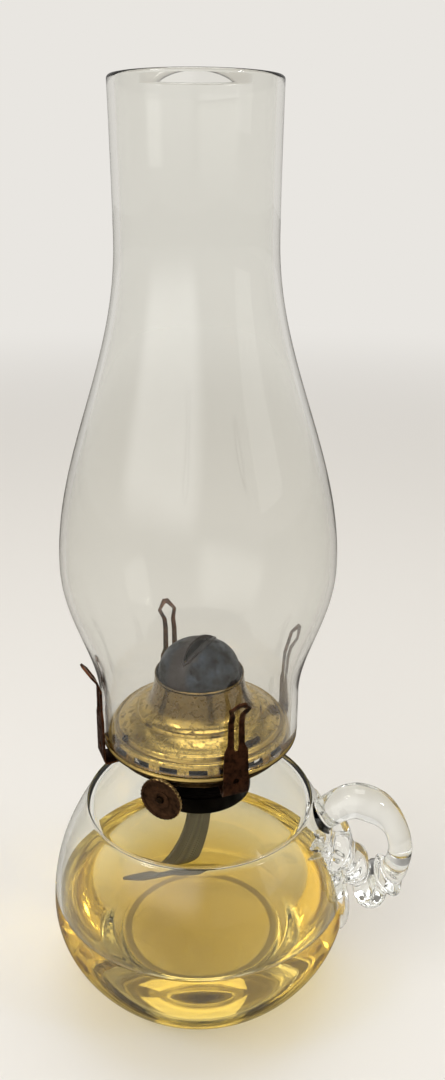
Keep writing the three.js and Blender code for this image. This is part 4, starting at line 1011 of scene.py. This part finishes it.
# Flame dome
# A spun cap with a lipped slot for the flame, blued and scaled by heat, with soot round the slot.
DOME_RADIUS = 13.5 * MM
DOME_HEIGHT = 13.8 * MM
DOME_SIDE_SHARE = 0.2
DOME_SQUARENESS = 0.8
DOME_SHEET = 0.6 * MM
DOME_LIP = 0.42 * MM
LIP_WIDTH_MM = 0.75
DOME_BLUE = ("353C45", "15130F")
DOME_SOOT = "1C0E09"
SOOT_ASIDE = 1.6 * MM
SOOT_HALF_WIDTH = (5 * MM, 3 * MM)
SOOT_RAGGED = 7 * MM
SOOT_SMUDGE = 3 * MM
SLOT_HALF_MM = [(9.9, 0.0), (9.2, 0.75), (6.5, 1.5), (3, 2.05), (0, 2.2)]

dome_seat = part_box("flame_dome")[0].z


def dome_line(radius, apex):
    """The dome's outline: a short upright side under a quarter of a squared ellipse."""
    spring = dome_seat + DOME_HEIGHT * DOME_SIDE_SHARE
    points = [(radius, dome_seat), (radius, dome_seat + DOME_HEIGHT * 0.1)]
    for angle in spread(0, math.pi / 2, 22):
        out, up = abs(math.cos(angle)) ** DOME_SQUARENESS, math.sin(angle) ** DOME_SQUARENESS
        points.append((radius * out, spring + (apex - spring) * up))
    return points


def lens_prism(name, margin, low, high):
    """A tall block with the flame slot's outline, wider by a margin."""
    half = [(x + (margin if not y else 0), y + margin if y else 0) for x, y in SLOT_HALF_MM]
    corners = half + [(-x, y) for x, y in half[-2::-1]]
    corners += [(x, -y) for x, y in corners[-2:0:-1]]
    rings = [[Vector((x * MM, y * MM, z)) for x, y in corners] for z in (low, high)]
    turn = Matrix.Rotation(math.radians(BURNER_TURN_DEG), 4, "Z")
    return skin_rings(name, [[turn @ point for point in ring] for ring in rings])


apex = dome_seat + DOME_HEIGHT
inside = dome_line(DOME_RADIUS - DOME_SHEET, apex - DOME_SHEET)[::-1]
dome = turn_piece("dome_blued", inside + dome_line(DOME_RADIUS, apex), 112)
inside = dome_line(DOME_RADIUS - DOME_SHEET / 2, apex - DOME_SHEET / 2)[::-1]
lip = turn_piece("dome_lip", inside + dome_line(DOME_RADIUS + DOME_LIP, apex + DOME_LIP), 100)
boolean(lip, "INTERSECT", lens_prism("lip_outline", LIP_WIDTH_MM, apex - 8 * MM, apex + 5 * MM))
boolean(dome, "UNION", lip)
boolean(dome, "DIFFERENCE", lens_prism("slot_outline", 0, apex - 9 * MM, apex + 5 * MM))
shade()

heat_blue = metal_finish("heat_blued_brass", DOME_BLUE, 4, 0.36, 0.5, 0.8, 0.06)
tree = heat_blue.node_tree
place = add_node(tree, "ShaderNodeTexCoord").outputs["Object"]
settings = {"vector_type": "TEXTURE", "Rotation": (0, 0, math.radians(BURNER_TURN_DEG))}
turned = add_node(tree, "ShaderNodeMapping", settings, Vector=place)
axes = add_node(tree, "ShaderNodeSeparateXYZ", None, Vector=turned.outputs[0])
aside = add_node(tree, "ShaderNodeMath", {"operation": "ADD", 1: SOOT_ASIDE}, _0=axes.outputs["Y"])
aside = add_node(tree, "ShaderNodeMath", {"operation": "ABSOLUTE"}, _0=aside.outputs[0])
smudge = add_node(tree, "ShaderNodeTexNoise", {"Scale": 1 / SOOT_SMUDGE, "Detail": 6}, Vector=place)
settings = {"operation": "MULTIPLY_ADD", 1: SOOT_RAGGED, 2: -SOOT_RAGGED / 2}
edge = add_node(tree, "ShaderNodeMath", settings, _0=smudge.outputs["Fac"])
near = add_node(tree, "ShaderNodeMath", {"operation": "ADD"}, _0=aside.outputs[0], _1=edge.outputs[0])
soot = overlay(tree, near.outputs[0], DOME_SOOT, *SOOT_HALF_WIDTH)
bare = add_node(tree, "ShaderNodeMapRange", {"To Min": 1, "To Max": 0.1}, Value=soot)
tree.links.new(bare.outputs[0], tree.nodes["Principled BSDF"].inputs["Metallic"])
dress(dome, heat_blue, "flame_dome", "hood")


# Spring prongs
# Four hairpins of brown spring brass, each on one rivet, which hold the chimney's foot.
SPRING_BROWN = ("6A432D", "2C1B12")

spring_brass = metal_finish("brown_spring_brass", SPRING_BROWN, 3, 0.38, 0.52, 0.7)
for number in (1, 2, 3, 4):
    body = f"spring_prong_{number}"
    refine(f"prong_{number}", f"prong_spring_{number}", body, spring_brass)
    refine(f"prong_rivet_{number}", f"rivet_{number}", "burner", dark_brass, 0.15)


# Wick
# Flat woven cotton, charred along its top edge and stained grey-olive below by years in the oil.
WICK_WIDTH = 16 * MM
WICK_HALF_THICKNESS = 0.95 * MM
WICK_TAIL_REACH = 26 * MM
WICK_TAIL_TURN_DEG = 38
WICK_TURN_SPAN = (0.1, 0.8)
WICK_SQUARENESS = 0.45
WICK_TAIL_SHARES = [(0, 0), (0, 0.12), (0.03, 0.3), (0.14, 0.5), (0.36, 0.72), (0.66, 0.9), (1, 1)]
TUBE_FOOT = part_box("wick_tube")[0].z
WICK_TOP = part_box("flat_wick")[1].z
WICK_BELOW_TUBE = 60 * MM
WICK_RINGS = 90

knots = [Vector((0, 0, WICK_TOP)), Vector((0, 0, (WICK_TOP + TUBE_FOOT) / 2))]
for aside_share, down in WICK_TAIL_SHARES:
    knots.append(Vector((0, -aside_share * WICK_TAIL_REACH, TUBE_FOOT - down * WICK_BELOW_TUBE)))
line = smooth_path(knots, WICK_RINGS)
in_tube = WICK_TOP - TUBE_FOOT
wick_length = sum((q - p).length for p, q in zip(line, line[1:]))
turn = Matrix.Rotation(math.radians(BURNER_TURN_DEG), 4, "Z")
rings, run = [], 0
for i, centre in enumerate(line):
    if i:
        run += (centre - line[i - 1]).length
    along = (line[min(i + 1, WICK_RINGS - 1)] - line[max(i - 1, 0)]).normalized()
    tail_share = max(run - in_tube, 0) / (wick_length - in_tube)
    twist = math.radians(WICK_TAIL_TURN_DEG) * ease(tail_share, *WICK_TURN_SPAN)
    across = Matrix.Rotation(twist, 3, along) @ Vector((1, 0, 0))
    through = across.cross(along)
    thick = through * WICK_HALF_THICKNESS
    ring = ring_round(centre, across * WICK_WIDTH / 2, thick, WICK_SQUARENESS, count=36)
    rings.append([turn @ point for point in ring])
wick = skin_rings("wick_cotton", rings)
layer = wick.data.uv_layers.new(name="weave")
count = len(rings[0])
for face in wick.data.polygons:
    for corner in face.loop_indices:
        ring, side = divmod(wick.data.loops[corner].vertex_index, count)
        angle = 2 * math.pi * (side + 0.5) / count
        layer.data[corner].uv = (math.cos(angle) * WICK_WIDTH / 2, wick_length * ring / (WICK_RINGS - 1))

COTTON_OLIVE = "8B8164"
COTTON_SHADE = "5E5744"
WEAVE_PITCH = 1.1 * MM
WEAVE_DEPTH = 0.3 * MM
FRAY_SIZE = 2 * MM
FRAY_REACH = 3 * MM
# Colour, and how far below the top edge it starts and is full, in millimetres
BURNT_TOP = [("4A3626", 9, 5), ("14110F", 6, 4)]

cotton, tree, shader = new_finish("woven_cotton", COTTON_SHADE, {"Roughness": 0.95})
flat = add_node(tree, "ShaderNodeUVMap", {"uv_map": "weave"}).outputs[0]
threads = []
for way in ("X", "Y"):
    settings = {"wave_type": "BANDS", "bands_direction": way, "Distortion": 0.6}
    settings["Scale"] = math.pi / 10 / WEAVE_PITCH
    threads.append(add_node(tree, "ShaderNodeTexWave", settings, Vector=flat).outputs["Fac"])
weave = add_node(tree, "ShaderNodeMath", {"operation": "MULTIPLY"}, _0=threads[0], _1=threads[1])
overlay(tree, weave.outputs[0], COTTON_OLIVE)
reach = add_node(tree, "ShaderNodeSeparateXYZ", None, Vector=flat).outputs["Y"]
fray = add_node(tree, "ShaderNodeTexNoise", {"Scale": 1 / FRAY_SIZE, "Detail": 4}, Vector=flat)
settings = {"operation": "MULTIPLY_ADD", 1: FRAY_REACH}
edge = add_node(tree, "ShaderNodeMath", settings, _0=fray.outputs["Fac"], _2=reach)
for colour, start, full in BURNT_TOP:
    overlay(tree, edge.outputs[0], colour, start * MM, full * MM)
settings = {"Strength": 0.8, "Distance": WEAVE_DEPTH}
bump = add_node(tree, "ShaderNodeBump", settings, Height=weave.outputs[0])
tree.links.new(bump.outputs[0], shader.inputs["Normal"])
dress(wick, cotton, "flat_wick", "wick")


# Chimney
# A blown glass chimney: a straight foot that the prongs grip, a long bulge, a straight neck and a
# fire-polished rim.
CHIMNEY_WALL = 2 * MM
CHIMNEY_FOOT_RADIUS = 32.5 * MM
CHIMNEY_FOOT_HEIGHT = 14 * MM
CHIMNEY_BULGE_HEIGHT = 59.5 * MM
CHIMNEY_NECK_RADIUS = 23 * MM
CHIMNEY_NECK_HEIGHT = 155.5 * MM
CHIMNEY_FLARE = 0.4 * MM
CHIMNEY_EDGE = 0.4 * MM
CHIMNEY_START = 0.6 * MM
CHIMNEY_TINT = "F5F5F2"
CHIMNEY_RIPPLE = 0.015 * MM

chimney_low, chimney_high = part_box("glass_chimney")
chimney_height = chimney_high.z - chimney_low.z


def s_curve(low, high, share):
    """A smooth way from low to high as share goes from 0 to 1."""
    return low + (high - low) * (1 - math.cos(math.pi * share)) / 2


def chimney_radius(height):
    """The chimney's outer radius at a height above its foot."""
    if height < CHIMNEY_FOOT_HEIGHT:
        return CHIMNEY_FOOT_RADIUS
    if height < CHIMNEY_BULGE_HEIGHT:
        share = (height - CHIMNEY_FOOT_HEIGHT) / (CHIMNEY_BULGE_HEIGHT - CHIMNEY_FOOT_HEIGHT)
        return s_curve(CHIMNEY_FOOT_RADIUS, chimney_high.y, share)
    if height < CHIMNEY_NECK_HEIGHT:
        share = (height - CHIMNEY_BULGE_HEIGHT) / (CHIMNEY_NECK_HEIGHT - CHIMNEY_BULGE_HEIGHT)
        return s_curve(chimney_high.y, CHIMNEY_NECK_RADIUS, share)
    share = (height - CHIMNEY_NECK_HEIGHT) / (chimney_height - CHIMNEY_NECK_HEIGHT)
    return CHIMNEY_NECK_RADIUS + CHIMNEY_FLARE * share * share


levels = spread(CHIMNEY_START, chimney_height - CHIMNEY_WALL / 2, 90)
outside = [(chimney_radius(h), chimney_low.z + h) for h in levels]
inside = [(chimney_radius(h) - CHIMNEY_WALL, chimney_low.z + h) for h in reversed(levels)]
rim_radius = chimney_radius(chimney_height) - CHIMNEY_WALL / 2
rim = quarter(rim_radius, chimney_high.z - CHIMNEY_WALL / 2, CHIMNEY_WALL / 2, 15, 165, 9)
foot_edge = [
    (CHIMNEY_FOOT_RADIUS - CHIMNEY_WALL + CHIMNEY_EDGE, chimney_low.z),
    (CHIMNEY_FOOT_RADIUS - CHIMNEY_EDGE, chimney_low.z),
]
outline = foot_edge + outside + rim + inside + foot_edge[:1]
chimney = turn_piece("chimney_glass", outline)
chimney_finish = glass_finish("chimney_glass_finish", CHIMNEY_TINT, CHIMNEY_RIPPLE)
dress(chimney, chimney_finish, "glass_chimney", "chimney")
